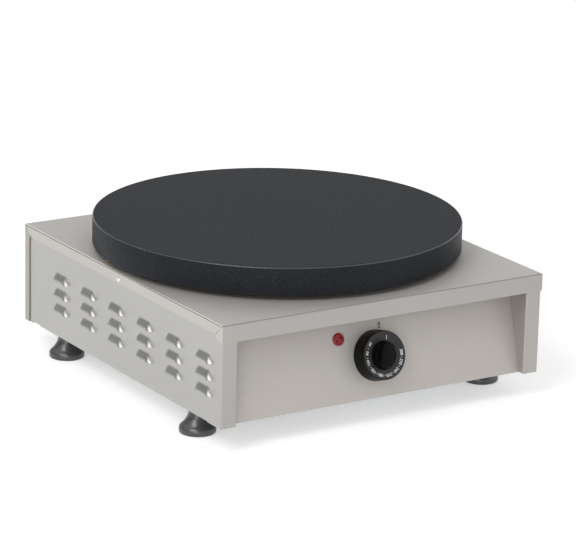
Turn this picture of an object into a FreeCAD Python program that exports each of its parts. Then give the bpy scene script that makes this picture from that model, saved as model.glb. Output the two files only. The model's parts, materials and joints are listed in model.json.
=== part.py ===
"""Electric crepe maker: a round cast-iron plate on a low stainless case with a slanted control panel.

Units are millimetres. The frame stands on the floor: +Z up, -Y is the operator's side, and the
origin is the middle of the footprint, knob and gland included. Every size below is set once and the rest
is worked out from it.
"""
import FreeCAD, Part
import math
import os
from FreeCAD import Placement, Rotation, Vector

# Case
case_width = 398.0
case_depth = 423.0
case_height = 110.0
floor_gap = 29.0
cover_sheet = 1.0
side_sheet = 1.0
front_sheet = 1.2
rear_sheet = 1.0
base_sheet = 1.2
seam = 0.2

# Cover lips
front_lip = 19.0
side_lip = 12.0
corner_tab = 12.5
tab_drop = 5.5
mitre_gap = 0.5

# Front posts, slanted panel and rear wraps
post_face = 18.5
return_top = 18.5
return_bottom = 8.0
panel_recess = 9.8
panel_slope = 16.0
panel_flange = 14.0
rear_wrap = 10.5
bottom_flange = 32.0
rear_flange = 14.0

# Vent slots in the base
vent_columns = 7
vent_pitch = 28.0
vent_row = 70.0
vent_width = 6.0
vent_length = 50.0

# Side louvres
louvre_columns = 6
louvre_rows = 3
louvre_pitch = 60.8
row_pitch = 17.4
louvre_fold = 26.0
louvre_lip = 32.0
louvre_height = 8.5
louvre_depth = 4.5
louvre_brow = 2.8
louvre_top = 101.3
louvre_shift = -17.0

# Cooking plate
plate_diameter = 400.0
plate_rim = 30.0
plate_web = 16.0
plate_skirt = 9.0
plate_edge = 2.0
plate_gap = 6.2
plate_setback = 4.6

# Stand-offs, studs and bars that carry the plate
side_standoff_y = 34.0
front_standoff_x = 100.0
standoff_across = 11.0
plate_stud = 6.0
stud_grip = 4.0
plate_boss = 17.0
boss_margin = 1.5
nut_height = 5.0
nut_across = 10.0
side_bar_width = 19.4
front_bar_width = 30.0
front_bar_clearance = 9.0
bar_height = 12.0
bar_sheet = 2.0
bar_overhang = 20.0

# Heating element, retainer, insulation and shield
element_tube = 8.5
element_outer = 135.0
element_inner = 70.0
element_gap = 30.0
tail_drop = 48.0
tail_clearance = 5.5
retainer_sheet = 2.0
retainer_overlap = 2.0
retainer_stud = 8.0
retainer_nut = 13.0
insulation_diameter = 292.0
insulation_hole = 18.0
shield_sheet = 0.8
shield_lip = 8.0

# Knob, thermostat and lamp on the slanted panel
knob_x = 1.5
knob_up = 44.3
knob_diameter = 54.0
knob_face = 51.8
knob_depth = 19.0
knob_wall = 2.5
knob_clearance = 0.8
knob_edge = 1.2
knob_hub = 12.0
grip_width = 17.0
grip_length = 27.5
grip_height = 8.0
grip_corner = 6.5
grip_draft = 2.4
index_angle = 16.0
shaft_diameter = 6.0
shaft_flat = 1.5
shaft_length = 26.0
running_fit = 0.05
bush_diameter = 9.0
thermostat_width = 42.0
thermostat_height = 34.0
thermostat_depth = 24.0
thermostat_blade = 7.0
blade_pitch = 16.0
blade_width = 6.4
blade_sheet = 0.8
thermostat_screw = 4.0
thermostat_pitch = 28.0
lamp_x = -41.0
lamp_up = 67.0
lamp_lens_diameter = 13.6
lamp_lens_height = 2.4
lamp_barrel = 10.0
lamp_length = 26.0
lamp_blade = 7.0
lamp_blade_pitch = 5.0
lamp_blade_width = 4.8
lamp_ring = 17.0

# Capillary and bulb
capillary = 2.0
capillary_offset = 15.0
capillary_bend = 9.0
capillary_side = 20.0
capillary_level = 32.0
capillary_lead = 40.0
capillary_slant = 30.0
bulb_diameter = 6.0
bulb_length = 70.0
bulb_radius_out = 100.0

# Feet
foot_inset = 20.0
foot_front = 78.0
foot_rear = 62.0
foot_base = 39.0
foot_neck = 19.0
foot_rim = 5.5
foot_stud = 8.0
foot_engage = 18.0
foot_clearance = 0.05
foot_nut_height = 6.5
foot_nut_across = 13.0
foot_stud_rise = 18.0
foot_lift = 0.2

# Rear inlet and terminals
gland_inset = 79.0
gland_up = 34.0
gland_thread = 20.0
gland_hex = 25.0
gland_reach = 20.0
gland_flange = 5.0
gland_bore = 9.0
gland_nut = 5.0
gland_tail = 12.0
block_length = 48.0
block_width = 22.0
block_height = 20.0
block_setback = 75.0
clamp_hole = 4.4
clamp_depth = 4.0
earth_thread = 5.0
earth_x = 50.0
earth_setback = 45.0
earth_height = 20.0
earth_nut_across = 8.0
earth_nut_height = 4.0
screw_head = 7.0
screw_thread = 3.5
screw_engage = 6.0
base_screw_inset = 16.0
base_screw_head = 2.0
base_screw_end = 4.0
base_screws_each_side = 3

# Leads inside the case
lead_diameter = 2.4
lead_bend = 6.0
lead_spread = 1.7
live_level = 33.0
neutral_level = 36.0
lamp_level = 15.0
earth_rise = 8.0
live_crossing = 31.0
earth_run = 19.0
blade_lead = 18.0

# Places that follow from the sizes above; the grip's nose and the gland's end lie equally far out
slope = math.radians(panel_slope)
grip_turn = math.radians(index_angle)
grip_drop = ((grip_width - grip_draft) / 2.0 - grip_corner + grip_draft / 2.0) * math.sin(grip_turn)
grip_drop += ((grip_length - grip_draft) / 2.0 - grip_corner + grip_draft / 2.0) * math.cos(grip_turn)
grip_drop += grip_corner - grip_draft / 2.0
knob_nose = (knob_depth + grip_height) * math.cos(slope) - (knob_up - grip_drop) * math.sin(slope)
case_y = (knob_nose - panel_recess - gland_reach) / 2.0
front_y = case_y - case_depth / 2.0
rear_y = case_y + case_depth / 2.0
case_bottom = floor_gap
case_top = floor_gap + case_height
under_cover = case_top - cover_sheet
half_width = case_width / 2.0
side_out = half_width - cover_sheet - seam
side_in = side_out - side_sheet
post_y = front_y + cover_sheet + seam
foot_x = half_width - foot_inset
gland_x = half_width - gland_inset
plate_y = case_y + plate_setback
plate_bottom = case_top + plate_gap
plate_top = plate_bottom + plate_rim
web_bottom = plate_top - plate_web
base_z = case_bottom + side_sheet
base_top = base_z + base_sheet
panel_foot = Vector(0, front_y + panel_recess, case_bottom)
panel_turn = Rotation(Vector(1, 0, 0), 90.0 - panel_slope)
retainer_diameter = insulation_diameter + 2.0 * retainer_overlap
standoff_reach = math.sqrt((plate_diameter / 2.0 - plate_boss / 2.0 - boss_margin) ** 2 - side_standoff_y ** 2)
side_standoff_x = min(standoff_reach, side_in - seam - side_bar_width / 2.0)
front_reach = math.sqrt((plate_diameter / 2.0 - plate_boss / 2.0 - boss_margin) ** 2 - front_standoff_x ** 2)
panel_back = panel_foot.y + (under_cover - case_bottom) * math.tan(slope) + panel_flange
front_standoff_y = max(plate_y - front_reach, panel_back + front_bar_clearance + front_bar_width / 2.0)
screw_z = case_top - side_lip * 0.6
terminal_y = rear_y - block_setback
terminal_z = base_top + block_height - clamp_depth
recess_x = half_width - cover_sheet - seam - post_face
cheek_x = recess_x + side_sheet
wall_y = rear_y - rear_sheet


def block(x0, x1, y0, y1, z0, z1):
    """A box between two corners."""
    return Part.makeBox(x1 - x0, y1 - y0, z1 - z0, Vector(x0, y0, z0))


def rod(radius, start, end):
    """A round bar between two points."""
    along = end.sub(start)
    return Part.makeCylinder(radius, along.Length, start, along)


def loop_wire(points):
    """A closed wire. A point given as (middle, end) makes an arc through the middle to the end."""
    edges = []
    here = points[0]
    for item in list(points[1:]) + [points[0]]:
        if isinstance(item, tuple):
            edges.append(Part.Arc(here, item[0], item[1]).toShape())
            here = item[1]
        else:
            if here.distanceToPoint(item) > 1e-6:
                edges.append(Part.LineSegment(here, item).toShape())
            here = item
    return Part.Wire(edges)


def sheet_x(outline, x0, x1):
    """A flat sheet across X from an outline of (y, z) points; a 4-value item is an arc."""
    points = []
    for item in outline:
        if len(item) == 4:
            points.append((Vector(x0, item[0], item[1]), Vector(x0, item[2], item[3])))
        else:
            points.append(Vector(x0, item[0], item[1]))
    return Part.Face(loop_wire(points)).extrude(Vector(x1 - x0, 0, 0))


def prism_z(outline, z0, z1):
    """An upright prism from an outline of (x, y) points."""
    points = [Vector(x, y, z0) for x, y in outline]
    return Part.Face(Part.makePolygon(points + points[:1])).extrude(Vector(0, 0, z1 - z0))


def turned(profile):
    """A solid of revolution about Z from (radius, height) points; a 4-value item is an arc."""
    points = []
    for item in profile:
        if len(item) == 4:
            points.append((Vector(item[0], 0, item[1]), Vector(item[2], 0, item[3])))
        else:
            points.append(Vector(item[0], 0, item[1]))
    return Part.Face(loop_wire(points)).revolve(Vector(0, 0, 0), Vector(0, 0, 1), 360)


def hexagon(across, z0, z1):
    """A hexagonal bar about Z, measured across its flats."""
    corner = across / math.sqrt(3.0)
    outline = [(corner * math.cos(math.radians(60 * i)), corner * math.sin(math.radians(60 * i)))
               for i in range(6)]
    return prism_z(outline, z0, z1)


def nut(across, hole, z0, z1):
    """A plain hexagon nut about Z."""
    return hexagon(across, z0, z1).cut(rod(hole / 2.0, Vector(0, 0, z0 - 1), Vector(0, 0, z1 + 1)))


def moved(shape, x, y, z):
    """A copy of a shape shifted by a vector."""
    copy = shape.copy()
    copy.translate(Vector(x, y, z))
    return copy


def mirrored(shape):
    """The other side's copy of a shape."""
    return shape.mirror(Vector(0, 0, 0), Vector(1, 0, 0))


def panel_point(x, up, out):
    """A point given on the slanted panel's outer face: across, up the slope and out of it."""
    return panel_foot.add(panel_turn.multVec(Vector(x, up, out)))


def on_panel(shape, x, up):
    """Place a shape that was made about Z so that Z stands out of the slanted panel."""
    copy = shape.copy()
    copy.Placement = Placement(panel_point(x, up, 0), panel_turn).multiply(copy.Placement)
    return copy


def bent_tube(points, radius, tube):
    """A round tube along straight runs whose corners are tangent arcs of one radius."""
    edges = []
    here = points[0]
    for i in range(1, len(points) - 1):
        corner = points[i]
        back = points[i - 1].sub(corner).normalize()
        ahead = points[i + 1].sub(corner).normalize()
        turn = math.pi - back.getAngle(ahead)
        reach = radius * math.tan(turn / 2.0)
        start = corner.add(back * reach)
        end = corner.add(ahead * reach)
        middle_way = back.add(ahead).normalize()
        middle = corner.add(middle_way * (radius / math.cos(turn / 2.0) - radius))
        if here.distanceToPoint(start) > 1e-6:
            edges.append(Part.LineSegment(here, start).toShape())
        edges.append(Part.Arc(start, middle, end).toShape())
        here = end
    edges.append(Part.LineSegment(here, points[-1]).toShape())
    path = Part.Wire(edges)
    along = points[1].sub(points[0])
    ring = Part.Wire([Part.makeCircle(tube / 2.0, points[0], along)])
    return path.makePipeShell([ring], True, False, 2)


def foot_places():
    """Names and centres of the four feet."""
    places = []
    for side, sign in (("left", -1), ("right", 1)):
        places.append(("front_" + side, sign * foot_x, front_y + foot_front))
        places.append(("rear_" + side, sign * foot_x, rear_y - foot_rear))
    return places


def standoff_places():
    """Centres of the four stand-offs: one beside each side wall and two near the front."""
    places = []
    for sign in (-1, 1):
        places.append((sign * side_standoff_x, plate_y + side_standoff_y))
        places.append((sign * front_standoff_x, front_standoff_y))
    return places


def top_cover():
    """Cover folded from one sheet, with mitred corner tabs on the front lip."""
    shape = block(-half_width, half_width, front_y, rear_y, under_cover, case_top)
    shape = shape.fuse(block(-half_width, half_width, front_y, front_y + cover_sheet,
                             case_top - front_lip, under_cover))
    low = case_top - side_lip
    tab_low = case_top - front_lip + 1.0
    tab_end = front_y + corner_tab
    lip = [(front_y + mitre_gap + 1.0, under_cover), (tab_end + mitre_gap + 1.0, low),
           (rear_y - corner_tab - mitre_gap, low), (rear_y - mitre_gap - 1.0, under_cover)]
    tab = [(front_y + cover_sheet, under_cover), (front_y + cover_sheet, tab_low),
           (tab_end - tab_drop, tab_low),
           (tab_end - tab_drop * 0.3, tab_low + tab_drop * 0.3, tab_end, low),
           (front_y + cover_sheet + 0.4, under_cover)]
    inner = half_width - cover_sheet
    for side in (sheet_x(lip, inner, half_width), sheet_x(tab, inner, half_width)):
        shape = shape.fuse([side, mirrored(side)])
    shape = shape.cut(Part.makeCompound(pass_holes(under_cover - 1, case_top + 1)))
    for x, y in standoff_places():
        shape = shape.cut(rod(plate_stud / 2.0 + 0.2, Vector(x, y, under_cover - 1),
                              Vector(x, y, case_top + 1)))
    for sign in (-1, 1):
        shape = shape.cut(side_screw_cone(sign, 0.1))
    return shape.removeSplitter()


def side_screw_cone(sign, grow):
    """The countersunk head's space in the middle of a side lip."""
    outer = Vector(sign * half_width, case_y, screw_z)
    head = screw_head / 2.0 + grow
    shank = screw_thread / 2.0 + grow
    cone = Part.makeCone(head, shank, cover_sheet, outer, Vector(-sign, 0, 0))
    return cone.fuse(rod(shank, outer, Vector(sign * (side_in - screw_engage), case_y, screw_z)))


def side_screws():
    """The two countersunk screws, each with a shallow cross recess."""
    screws = []
    for sign in (-1, 1):
        shape = side_screw_cone(sign, 0.0)
        face = sign * half_width
        depth = 0.6
        for across, tall in ((3.6, 0.8), (0.8, 3.6)):
            shape = shape.cut(block(min(face, face - sign * depth), max(face, face - sign * depth),
                                    case_y - across / 2.0, case_y + across / 2.0,
                                    screw_z - tall / 2.0, screw_z + tall / 2.0))
        screws.append(shape)
    return Part.makeCompound(screws)


def louvre_form(shrink):
    """The wedge of a pressed louvre about its fold, out along +X; shrink gives its hollow side."""
    fold = louvre_fold / 2.0 - shrink
    lip = louvre_lip / 2.0 - shrink
    depth = louvre_depth - shrink
    high = louvre_height - shrink
    low = -1.0 if shrink else 0.0
    back = -side_sheet - 1.0 if shrink else -side_sheet / 2.0
    back_top = high
    corners = {
        "a": (back, fold, back_top), "b": (0.0, fold, high), "c": (depth, fold - 0.5, louvre_brow),
        "d": (depth, fold, low), "e": (0.0, lip, low), "f": (back, lip, low)}
    right = {name: Vector(x, y, z) for name, (x, y, z) in corners.items()}
    left = {name: Vector(x, -y, z) for name, (x, y, z) in corners.items()}

    def face(*points):
        return Part.Face(Part.makePolygon(list(points) + [points[0]]))

    faces = [face(right["a"], right["b"], left["b"], left["a"]),
             face(right["b"], right["c"], left["c"], left["b"]),
             face(right["c"], right["d"], left["d"], left["c"]),
             face(right["f"], right["e"], right["d"], left["d"], left["e"], left["f"]),
             face(right["a"], right["f"], left["f"], left["a"])]
    for side in (right, left):
        faces.append(face(side["b"], side["c"], side["e"]))
        faces.append(face(side["c"], side["d"], side["e"]))
        faces.append(face(side["a"], side["b"], side["e"], side["f"]))
    return Part.makeSolid(Part.makeShell(faces))


def louvre_places():
    """Centres (y, z of the lip) of the louvres on one side."""
    places = []
    middle = case_y + louvre_shift
    for column in range(louvre_columns):
        y = middle + (column - (louvre_columns - 1) / 2.0) * louvre_pitch
        for row in range(louvre_rows):
            places.append((y, louvre_top - louvre_height - row * row_pitch))
    return places


def right_side_panel():
    """Side wall with its front post, the post's tapered return, a bottom flange and louvres."""
    shape = block(side_in, side_out, post_y, wall_y, case_bottom, under_cover)
    shape = shape.fuse(block(recess_x, side_in, post_y, post_y + side_sheet, case_bottom, under_cover))
    back = [(post_y + side_sheet, case_bottom), (post_y + return_bottom - cover_sheet, case_bottom),
            (post_y + return_top - cover_sheet, under_cover), (post_y + side_sheet, under_cover)]
    shape = shape.fuse(sheet_x(back, recess_x, recess_x + side_sheet))
    flange_front = panel_foot.y + front_sheet + panel_flange + 1.0
    flange_rear = wall_y - rear_flange - 1.0
    shape = shape.fuse(block(side_out - bottom_flange, side_in, flange_front, flange_rear,
                             case_bottom, case_bottom + side_sheet))
    for name, x, y in foot_places():
        if x > 0:
            shape = shape.cut(rod(foot_stud / 2.0 + 0.5, Vector(x, y, case_bottom - 1),
                                  Vector(x, y, case_bottom + side_sheet + 1)))
    outer = louvre_form(0.0)
    hollow = louvre_form(side_sheet)
    hoods = []
    hollows = []
    for y, z in louvre_places():
        hoods.append(moved(outer, side_out, y, z))
        hollows.append(moved(hollow, side_out, y, z))
    shape = shape.fuse(hoods).cut(Part.makeCompound(hollows))
    shape = shape.cut(rod(screw_thread / 2.0 + 0.1, Vector(side_in - 1, case_y, screw_z),
                          Vector(side_out + 1, case_y, screw_z)))
    return shape.removeSplitter()


def slanted(x0, x1, up0, up1, out0, out1):
    """A box in the slanted panel's own directions."""
    copy = block(x0, x1, up0, up1, out0, out1)
    copy.Placement = Placement(panel_foot, panel_turn)
    return copy


def front_panel():
    """Slanted control panel with top and bottom flanges and a triangular cheek at each end."""
    rise = (under_cover - case_bottom) / math.cos(slope)
    skin = slanted(-cheek_x, cheek_x, -5.0, rise + 5.0, -front_sheet, 0.0)
    room = block(-cheek_x, cheek_x, front_y, rear_y, case_bottom, under_cover)
    shape = skin.common(room)
    foot = panel_foot.y + front_sheet / math.cos(slope)
    head = panel_back - panel_flange
    shape = shape.fuse(block(-cheek_x, cheek_x, foot - 0.6, foot + panel_flange,
                             case_bottom, case_bottom + side_sheet))
    shape = shape.fuse(block(-cheek_x, cheek_x, head + 0.2, panel_back,
                             under_cover - front_sheet, under_cover))
    face_low = post_y + side_sheet + seam
    lean = math.tan(slope)
    cheek = [(face_low, case_bottom), (foot, case_bottom),
             (foot + (under_cover - case_bottom) * lean, under_cover), (face_low, under_cover)]
    right = sheet_x(cheek, cheek_x, cheek_x + front_sheet)
    shape = shape.fuse([right, mirrored(right)])
    for hole in panel_holes():
        shape = shape.cut(hole)
    return shape.removeSplitter()


def panel_holes():
    """The holes for the thermostat bush, its two screws and the lamp."""
    span = (Vector(0, 0, -front_sheet - 1), Vector(0, 0, 1))
    holes = [on_panel(rod(bush_diameter / 2.0 + 0.3, *span), knob_x, knob_up)]
    for sign in (-1, 1):
        holes.append(on_panel(rod(thermostat_screw / 2.0 + 0.2, *span),
                              knob_x + sign * thermostat_pitch / 2.0, knob_up))
    holes.append(on_panel(rod(lamp_barrel / 2.0 + 0.15, *span), lamp_x, lamp_up))
    return holes


def rear_panel():
    """Rear wall whose ends wrap round the sides and meet the cover's side lips at a mitre."""
    shape = block(-half_width, half_width, wall_y, rear_y, case_bottom, under_cover)
    edge = rear_y - rear_wrap
    low = case_top - side_lip
    tip = rear_y - corner_tab
    wrap = [(wall_y, case_bottom), (wall_y, under_cover), (wall_y - 0.4, under_cover), (tip, low),
            (tip + (edge - tip) * 0.7, low - tab_drop * 0.3, edge, low - tab_drop),
            (edge, case_bottom)]
    right = sheet_x(wrap, side_out + seam, half_width)
    shape = shape.fuse([right, mirrored(right)])
    inside = side_in - seam
    shape = shape.fuse(block(-inside, inside, wall_y - rear_flange, wall_y,
                             case_bottom, case_bottom + side_sheet))
    shape = shape.fuse(block(-inside, inside, wall_y - rear_flange, wall_y,
                             under_cover - rear_sheet, under_cover))
    z = case_bottom + gland_up
    shape = shape.cut(rod(gland_thread / 2.0 + 0.2, Vector(gland_x, wall_y - 1, z),
                          Vector(gland_x, rear_y + 1, z)))
    return shape.removeSplitter()


def base_plate():
    """Floor of the case, resting on the panels' bottom flanges, with vent slots."""
    inside = side_in - seam
    front = panel_foot.y + front_sheet / math.cos(slope) + (base_top - case_bottom) * math.tan(slope) + 0.3
    shape = block(-recess_x, recess_x, front, wall_y - seam, base_z, base_top)
    flange_front = panel_foot.y + front_sheet + panel_flange + 1.0
    shape = shape.fuse(block(-inside, inside, flange_front, wall_y - seam, base_z, base_top))
    for name, x, y in foot_places():
        shape = shape.cut(rod(foot_stud / 2.0 + 0.5, Vector(x, y, base_z - 1), Vector(x, y, base_top + 1)))
    slots = []
    half = vent_columns // 2
    for row in (-1, 1):
        for column in range(-half, half + 1):
            x = column * vent_pitch
            y = case_y + row * vent_row
            slots.append(block(x - vent_width / 2.0, x + vent_width / 2.0, y - vent_length / 2.0,
                               y + vent_length / 2.0, base_z - 1, base_top + 1))
    return shape.cut(Part.makeCompound(slots)).removeSplitter()


def crepe_plate():
    """Cast cooking plate: thick web, deep turned rim, four stud bosses and a centre boss."""
    radius = plate_diameter / 2.0
    low = plate_bottom
    profile = [(0, web_bottom), (radius - plate_skirt - 3, web_bottom),
               (radius - plate_skirt, web_bottom - 3), (radius - plate_skirt, low),
               (radius - 1, low), (radius, low + 1), (radius, plate_top - plate_edge),
               (radius - plate_edge * 0.293, plate_top - plate_edge * 0.293,
                radius - plate_edge, plate_top), (0, plate_top)]
    shape = moved(turned(profile), 0, plate_y, 0)
    for x, y in standoff_places():
        shape = shape.fuse(rod(plate_boss / 2.0, Vector(x, y, web_bottom + 1), Vector(x, y, plate_bottom)))
        shape = shape.cut(rod(plate_stud / 2.0, Vector(x, y, plate_bottom - 1),
                              Vector(x, y, web_bottom + stud_grip)))
    centre = Vector(0, plate_y, web_bottom + stud_grip)
    shape = shape.cut(rod(retainer_stud / 2.0, Vector(0, plate_y, web_bottom - 1), centre))
    return shape.removeSplitter()


def plate_standoffs():
    """Hexagon stand-offs between the cover and the plate's bosses."""
    posts = []
    for x, y in standoff_places():
        post = hexagon(standoff_across, case_top, plate_bottom)
        post = post.cut(rod(plate_stud / 2.0, Vector(0, 0, case_top - 1), Vector(0, 0, plate_bottom + 1)))
        posts.append(moved(post, x, y, 0))
    return Part.makeCompound(posts)


def plate_studs():
    """Studs screwed into the plate, through stand-off, cover and bar."""
    studs = []
    low = under_cover - bar_sheet - nut_height - 3.0
    for x, y in standoff_places():
        studs.append(rod(plate_stud / 2.0, Vector(x, y, low), Vector(x, y, web_bottom + stud_grip)))
    return Part.makeCompound(studs)


def plate_nuts():
    """Nuts under the bars."""
    high = under_cover - bar_sheet
    return Part.makeCompound([moved(nut(nut_across, plate_stud, high - nut_height, high), x, y, 0)
                              for x, y in standoff_places()])


def channel(x0, x1, y0, y1, along_x):
    """A channel hung under the cover, open downwards, with its length along X or along Y."""
    low = under_cover - bar_height
    shape = block(x0, x1, y0, y1, low, under_cover)
    if along_x:
        room = block(x0 - 1, x1 + 1, y0 + bar_sheet, y1 - bar_sheet, low - 1, under_cover - bar_sheet)
    else:
        room = block(x0 + bar_sheet, x1 - bar_sheet, y0 - 1, y1 + 1, low - 1, under_cover - bar_sheet)
    shape = shape.cut(room)
    for x, y in standoff_places():
        if x0 < x < x1 and y0 < y < y1:
            shape = shape.cut(rod(plate_stud / 2.0 + 0.2, Vector(x, y, under_cover - bar_sheet - 1),
                                  Vector(x, y, under_cover + 1)))
    return shape


def support_bar(sign):
    """Channel beside a side wall: it carries the side stand-off and takes the cover's side screw."""
    inner = side_standoff_x - side_bar_width / 2.0
    outer = side_standoff_x + side_bar_width / 2.0
    shape = channel(min(sign * inner, sign * outer), max(sign * inner, sign * outer),
                    case_y - bar_overhang, plate_y + side_standoff_y + bar_overhang, False)
    return shape.cut(rod(screw_thread / 2.0, Vector(sign * (outer - bar_sheet - 1), case_y, screw_z),
                         Vector(sign * (outer + 1), case_y, screw_z)))


def front_support_bars():
    """Two short channels under the cover, each for one front stand-off."""
    bars = []
    y = front_standoff_y
    for sign in (-1, 1):
        x = sign * front_standoff_x
        bars.append(channel(x - bar_overhang, x + bar_overhang, y - front_bar_width / 2.0,
                            y + front_bar_width / 2.0, True))
    return Part.makeCompound(bars)


def ring_point(radius, angle, z):
    """A point on a circle about the plate's axis; angle 0 is the operator's side, towards +X."""
    a = math.radians(angle)
    return Vector(radius * math.sin(a), plate_y - radius * math.cos(a), z)


def heating_element():
    """Double loop of tubular element under the plate, both tails bent down into the case."""
    z = web_bottom - element_tube / 2.0
    bend = 2.0 * element_tube
    first = math.degrees(element_gap / element_outer)
    last = 360.0 - first
    middle = (element_outer + element_inner) / 2.0
    low = case_top - tail_drop
    edges = []

    def tail(radius, going_down):
        """Quarter turn and straight drop at the front end of one loop."""
        a = math.radians(first)
        end = ring_point(radius, first, z)
        out = Vector(-math.cos(a), -math.sin(a), 0)
        root = math.sqrt(0.5)
        mid = end.add(out * (bend * root)).add(Vector(0, 0, -bend * (1 - root)))
        knee = end.add(out * bend).add(Vector(0, 0, -bend))
        foot = Vector(knee.x, knee.y, low)
        if going_down:
            return [Part.Arc(end, mid, knee).toShape(), Part.LineSegment(knee, foot).toShape()]
        return [Part.LineSegment(foot, knee).toShape(), Part.Arc(knee, mid, end).toShape()]

    edges += tail(element_outer, False)
    edges.append(Part.Arc(ring_point(element_outer, first, z), ring_point(element_outer, 180, z),
                          ring_point(element_outer, last, z)).toShape())
    turn = ring_point(middle, last, z)
    a = math.radians(last)
    bulge = Vector(math.cos(a), math.sin(a), 0) * ((element_outer - element_inner) / 2.0)
    edges.append(Part.Arc(ring_point(element_outer, last, z), turn.add(bulge),
                          ring_point(element_inner, last, z)).toShape())
    edges.append(Part.Arc(ring_point(element_inner, last, z), ring_point(element_inner, 180, z),
                          ring_point(element_inner, first, z)).toShape())
    edges += tail(element_inner, True)
    path = Part.Wire(edges)
    begin = path.OrderedVertexes[0].Point
    ring = Part.Wire([Part.makeCircle(element_tube / 2.0, begin, Vector(0, 0, 1))])
    return path.makePipeShell([ring], True, False, 2)


def tail_places():
    """Centres of the two element tails."""
    a = math.radians(math.degrees(element_gap / element_outer))
    out = Vector(-math.cos(a), -math.sin(a), 0) * (2.0 * element_tube)
    first = math.degrees(a)
    return [ring_point(radius, first, 0).add(out) for radius in (element_outer, element_inner)]


def pass_holes(z0, z1):
    """Clearance holes for the element tails, the capillary and the retainer stud's nut."""
    holes = []
    for place in tail_places():
        holes.append(rod(element_tube / 2.0 + tail_clearance, Vector(place.x, place.y, z0),
                         Vector(place.x, place.y, z1)))
    drop = capillary_points()[2]
    holes.append(rod(capillary + 1.5, Vector(drop.x, drop.y, z0), Vector(drop.x, drop.y, z1)))
    return holes


def element_retainer():
    """Pressed disc that clamps the element against the plate."""
    high = web_bottom - element_tube
    low = high - retainer_sheet
    centre = Vector(0, plate_y, low)
    shape = Part.makeCylinder(retainer_diameter / 2.0, retainer_sheet, centre)
    for place in tail_places():
        shape = shape.cut(rod(2.5 * element_tube, Vector(place.x, place.y, low - 1),
                              Vector(place.x, place.y, high + 1)))
    shape = shape.cut(Part.makeCompound(pass_holes(low - 1, high + 1)))
    return shape.cut(rod(retainer_stud / 2.0 + 0.3, Vector(0, plate_y, low - 1), Vector(0, plate_y, high + 1)))


def retainer_low():
    """Underside of the element retainer."""
    return web_bottom - element_tube - retainer_sheet


def element_stud():
    """Stud in the plate's centre that pulls the retainer up."""
    low = retainer_low() - nut_height - 1.5
    return rod(retainer_stud / 2.0, Vector(0, plate_y, low), Vector(0, plate_y, web_bottom + stud_grip))


def element_nut():
    """Nut under the retainer."""
    high = retainer_low()
    return moved(nut(retainer_nut, retainer_stud, high - nut_height, high), 0, plate_y, 0)


def insulation_disc():
    """Ceramic-fibre disc between the shield and the retainer."""
    low = case_top + shield_sheet
    high = retainer_low()
    shape = Part.makeCylinder(insulation_diameter / 2.0, high - low, Vector(0, plate_y, low))
    shape = shape.cut(Part.makeCompound(pass_holes(low - 1, high + 1)))
    return shape.cut(rod(insulation_hole / 2.0, Vector(0, plate_y, low - 1), Vector(0, plate_y, high + 1)))


def heat_shield():
    """Shallow pan that holds the insulation and covers the hole in the case top."""
    inner = insulation_diameter / 2.0 + 0.5
    outer = inner + shield_sheet
    profile = [(0, case_top), (outer, case_top), (outer, case_top + shield_lip),
               (inner, case_top + shield_lip), (inner, case_top + shield_sheet), (0, case_top + shield_sheet)]
    shape = moved(turned(profile), 0, plate_y, 0)
    return shape.cut(Part.makeCompound(pass_holes(case_top - 1, case_top + shield_sheet + 1)))


def bulb_z():
    """Height of the sensor bulb's axis, just under the plate."""
    return web_bottom - bulb_diameter / 2.0


def sensor_bulb():
    """Liquid-filled thermostat bulb against the plate's underside."""
    x = bulb_length / 2.0
    y = plate_y + bulb_radius_out
    return rod(bulb_diameter / 2.0, Vector(-x, y, bulb_z()), Vector(x, y, bulb_z()))


def bulb_clip():
    """Folded strip on the retainer that presses the bulb to the plate."""
    low = web_bottom - element_tube
    high = bulb_z() + bulb_diameter * 0.25
    y = plate_y + bulb_radius_out
    shape = block(-6, 6, y - bulb_diameter / 2.0 - 1.5, y + bulb_diameter / 2.0 + 1.5, low, high)
    return shape.cut(sensor_bulb())


def capillary_points():
    """Corners of the capillary's route from the bulb to the back of the thermostat."""
    y = plate_y + bulb_radius_out
    start = Vector(bulb_length / 2.0, y, bulb_z())
    across = Vector(bulb_length / 2.0 + capillary_side, y, bulb_z())
    under = case_top - capillary_level
    drop = Vector(across.x, across.y, under)
    back = panel_point(knob_x + capillary_offset, knob_up, -front_sheet - thermostat_depth)
    inside = panel_point(knob_x + capillary_offset, knob_up, -front_sheet - thermostat_depth - capillary_lead)
    side = Vector(across.x, inside.y + capillary_slant, under)
    return [start, across, drop, side, inside, back]


def capillary_tube():
    """Thin copper tube along that route."""
    return bent_tube(capillary_points(), capillary_bend, capillary)


def thermostat_body():
    """Thermostat block behind the panel, with the bush that carries its shaft."""
    half_w = thermostat_width / 2.0
    half_h = thermostat_height / 2.0
    back = -front_sheet - thermostat_depth
    shape = block(-half_w, half_w, -half_h, half_h, back, -front_sheet)
    shape = shape.fuse(rod(bush_diameter / 2.0, Vector(0, 0, -front_sheet), Vector(0, 0, 0.4)))
    shape = shape.cut(rod(shaft_diameter / 2.0 + running_fit, Vector(0, 0, back + 4.0), Vector(0, 0, 1)))
    for sign in (-1, 1):
        x = sign * thermostat_pitch / 2.0
        shape = shape.cut(rod(thermostat_screw / 2.0, Vector(x, 0, -front_sheet - 8.0), Vector(x, 0, 0)))
        middle = sign * blade_pitch / 2.0
        shape = shape.fuse(block(middle - blade_width / 2.0, middle + blade_width / 2.0, -blade_sheet / 2.0,
                                 blade_sheet / 2.0, back - thermostat_blade, back))
    return on_panel(shape.removeSplitter(), knob_x, knob_up)


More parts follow.
